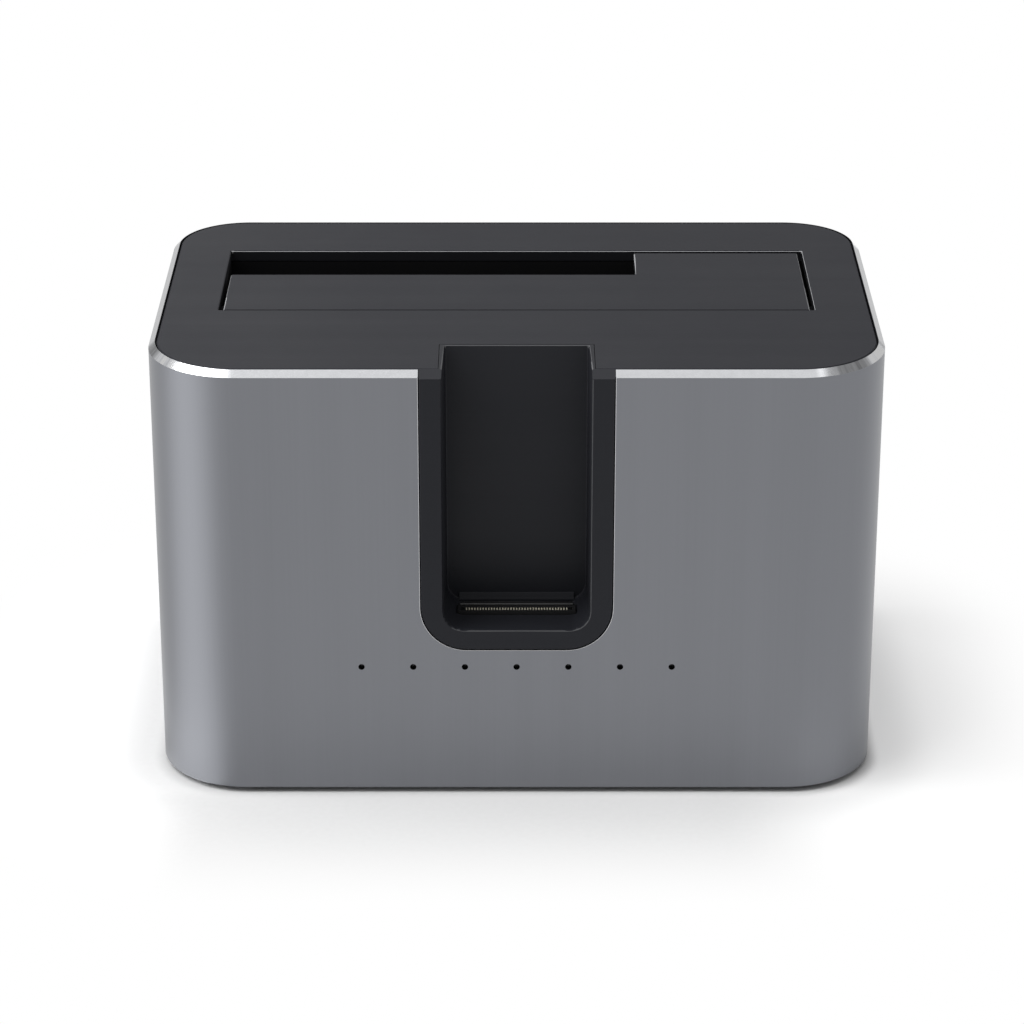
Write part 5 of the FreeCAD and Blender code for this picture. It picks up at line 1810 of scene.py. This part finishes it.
@dataclass
class Studio:
    """The camera, the lamps, the floor and the backdrop."""

    lens: float = 124.88
    camera_tilt: float = 66.70
    camera_place: Point = (-0.000829, -0.612365, 0.301506)
    floor_half: float = 3.0
    floor_gap: float = 0.00005
    dock_half: tuple[float, float] = (0.065, 0.04075)
    dock_corner: float = 0.015
    lift: float = 0.42
    # Share of the floor's lift kept next to the dock, right, left and in front: a painted soft shadow.
    right_share: float = 0.74
    left_share: float = 0.4
    front_share: float = 0.27
    far_start: float = 0.006
    far_end: float = 0.042
    far_glow: float = 0.45
    backdrop_gloss: float = 0.5
    fill: float = 0.3
    glow: float = 0.9
    glow_place: Point = (0.057, 0.036, 0.0)
    glow_turn: float = -201.0
    target: Point = (0.0, 0.0, 0.04)
    lamps: tuple[Lamp, ...] = (
        Lamp("key", (-0.75, -0.24, 1.15), (1.0, 0.8), 9.0),
        Lamp("overhead", (0.0, -0.28, 1.05), (1.1, 0.5), 2.3),
        Lamp("back", (-0.42, 0.8, 0.8), (0.7, 0.5), 1.5),
        Lamp("left_strip", (-0.95, -0.25, 0.35), (0.25, 0.9), 2.6),
        Lamp("right_strip", (1.0, -0.35, 0.45), (0.25, 0.8), 0.5))

    def build(self) -> None:
        """Sets up everything round the dock."""
        put_down()
        self._camera()
        self._world()
        self._floor()
        for lamp in self.lamps:
            self._light(lamp)
        bpy.context.scene.view_settings.view_transform = "Standard"
        log.info("studio: camera, lamps, floor and backdrop")

    def _camera(self) -> None:
        """Places the camera at the photograph's view."""
        bpy.ops.object.camera_add(location=self.camera_place,
                                  rotation=(math.radians(self.camera_tilt), 0.0, 0.0))
        camera = bpy.context.object
        camera.name = "photo_camera"
        camera.data.lens = self.lens
        camera.data.sensor_width = 36.0
        camera.data.clip_end = 20.0
        bpy.context.scene.camera = camera

    def _world(self) -> None:
        """Makes a white backdrop that lights the object at a plain level."""
        world = bpy.data.worlds.new("white_studio")
        bpy.context.scene.world = world
        world.use_nodes = True
        world.node_tree.nodes.clear()
        tree = Tree(world.node_tree)
        path = tree.add("LightPath")
        seen = tree.math("MAXIMUM", path.outputs["Is Camera Ray"], path.outputs["Is Transmission Ray"])
        seen = tree.math("MAXIMUM", seen, tree.product(path.outputs["Is Glossy Ray"], self.backdrop_gloss))
        back = tree.fed("Background", (1.0, 1.0, 1.0, 1.0), tree.math("MAXIMUM", seen, self.fill))
        tree.fed("OutputWorld", back.outputs[0])

    def _outside(self, tree: Tree) -> Socket:
        """Measures how far a point of the floor lies outside the dock's outline.

        Args:
            tree: The floor's tree.

        Returns:
            The distance in metres.
        """
        squares = []
        for axis, half in zip("XY", self.dock_half):
            beyond = tree.math("SUBTRACT", tree.plain(tree.at(axis)), half - self.dock_corner)
            squares.append(tree.math("POWER", tree.math("MAXIMUM", beyond, 0.0), 2.0))
        return tree.math("SUBTRACT", tree.math("SQRT", tree.math("ADD", *squares)), self.dock_corner)

    def _lift_with_painted_shadow(self, tree: Tree, away: Socket) -> Socket:
        """Works out the share of the floor's lift, cut down next to the dock as a painted soft shadow, most
        in front.

        Args:
            tree: The floor's tree.
            away: How far a point lies outside the dock.

        Returns:
            The share's socket.
        """
        across, front = tree.at("X"), -self.dock_half[1]
        far = tree.span(away, 0.003, 0.014, smooth=True)
        left, right = (tree.between(far, share, 1.0) for share in (self.left_share, self.right_share))
        sides = tree.between(tree.span(across, -0.03, 0.03, smooth=True), left, right)
        forward = tree.product(tree.span(tree.at("Y"), front + 0.002, front - 0.003, smooth=True),
                               tree.span(across, 0.035, 0.066, 1.0, 0.0, smooth=True),
                               tree.span(across, -0.075, -0.055, smooth=True))
        share = tree.between(forward, sides, self.front_share)
        return tree.product(share, tree.span(away, -0.0005, 0.0025, smooth=True))

    def _glow(self, tree: Tree) -> Socket:
        """Masks the floor's bright patch at the left front, which the sleeve's left corner mirrors.

        Args:
            tree: The floor's tree.

        Returns:
            The mask's socket.
        """
        where = tree.add("TexCoord").outputs["Object"]
        moved = tree.fed("VectorMath", where, self.glow_place, operation="ADD").outputs[0]
        turned = tree.fed("Mapping", moved)
        tree.give(turned, Rotation=(0.0, 0.0, math.radians(self.glow_turn)))
        along, aside = tree.fed("SeparateXYZ", turned.outputs[0]).outputs[:2]
        reach = tree.math("ADD", tree.math("MAXIMUM", along, 0.0), 0.012)
        ratio = tree.math("DIVIDE", tree.plain(aside), reach)
        return tree.product(tree.span(ratio, 0.1, 0.95, 1.0, 0.0, smooth=True), tree.over(along, 0.0))

    def _floor(self) -> None:
        """Makes the pale floor, which keeps the dock's shadow, adds a painted soft shadow next to it and
        turns white further out.
        """
        bpy.ops.mesh.primitive_plane_add(size=2 * self.floor_half, location=(0.0, 0.0, -self.floor_gap))
        floor = bpy.context.object
        floor.name = "floor"
        material = bpy.data.materials.new("pale_floor")
        material.use_nodes = True
        material.node_tree.nodes.clear()
        tree = Tree(material.node_tree)
        away = self._outside(tree)
        # Painted soft shadow: the floor's lift is cut down next to the dock.
        beside = self._lift_with_painted_shadow(tree, away)
        far = tree.span(away, self.far_start, self.far_end, smooth=True)
        grain = tree.noise(tree.place(), 900.0, 2.0)
        tone = tree.mix(tree.span(grain, 0.3, 0.7), (0.80, 0.80, 0.80, 1.0), (0.82, 0.82, 0.82, 1.0))
        path = tree.add("LightPath")
        seen = tree.math("MAXIMUM", path.outputs["Is Camera Ray"], path.outputs["Is Glossy Ray"])
        seen = tree.math("MAXIMUM", seen, path.outputs["Is Transmission Ray"])
        glow = tree.product(self._glow(tree), path.outputs["Is Glossy Ray"], self.glow)
        lift, white = tree.add("Emission"), tree.add("Emission")
        tree.give(lift, Strength=tree.math("ADD", tree.product(seen, self.lift, beside), glow))
        tree.give(white, Strength=tree.math("ADD", tree.math("MAXIMUM", seen, self.far_glow), glow))
        lit = tree.fed("AddShader", tree.fed("BsdfDiffuse", tone).outputs[0], lift.outputs[0])
        both = tree.fed("MixShader", far, lit.outputs[0], white.outputs[0])
        tree.fed("OutputMaterial", both.outputs[0])
        floor.data.materials.append(material)

    def _light(self, lamp: Lamp) -> None:
        """Adds a lamp that points at the dock.

        Args:
            lamp: The lamp's place, size and power.
        """
        aim = (Vector(self.target) - Vector(lamp.place)).to_track_quat("-Z", "Y").to_euler()
        bpy.ops.object.light_add(type="AREA", location=lamp.place, rotation=aim)
        light = bpy.context.object
        light.name = lamp.name
        light.data.shape = "RECTANGLE"
        light.data.size, light.data.size_y = lamp.size
        light.data.energy = lamp.power


def main() -> None:
    """Builds the dock's looks in order."""
    logging.basicConfig(level=logging.INFO, format="%(message)s")
    put_down()
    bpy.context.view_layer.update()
    for part in (SleeveShell(), TopDeck(), FrontBay(), RearPanel(), BaseAndFeet(), Circuit(), ScrewSet(),
                 Studio()):
        part.build()


if __name__ == "__main__":
    main()
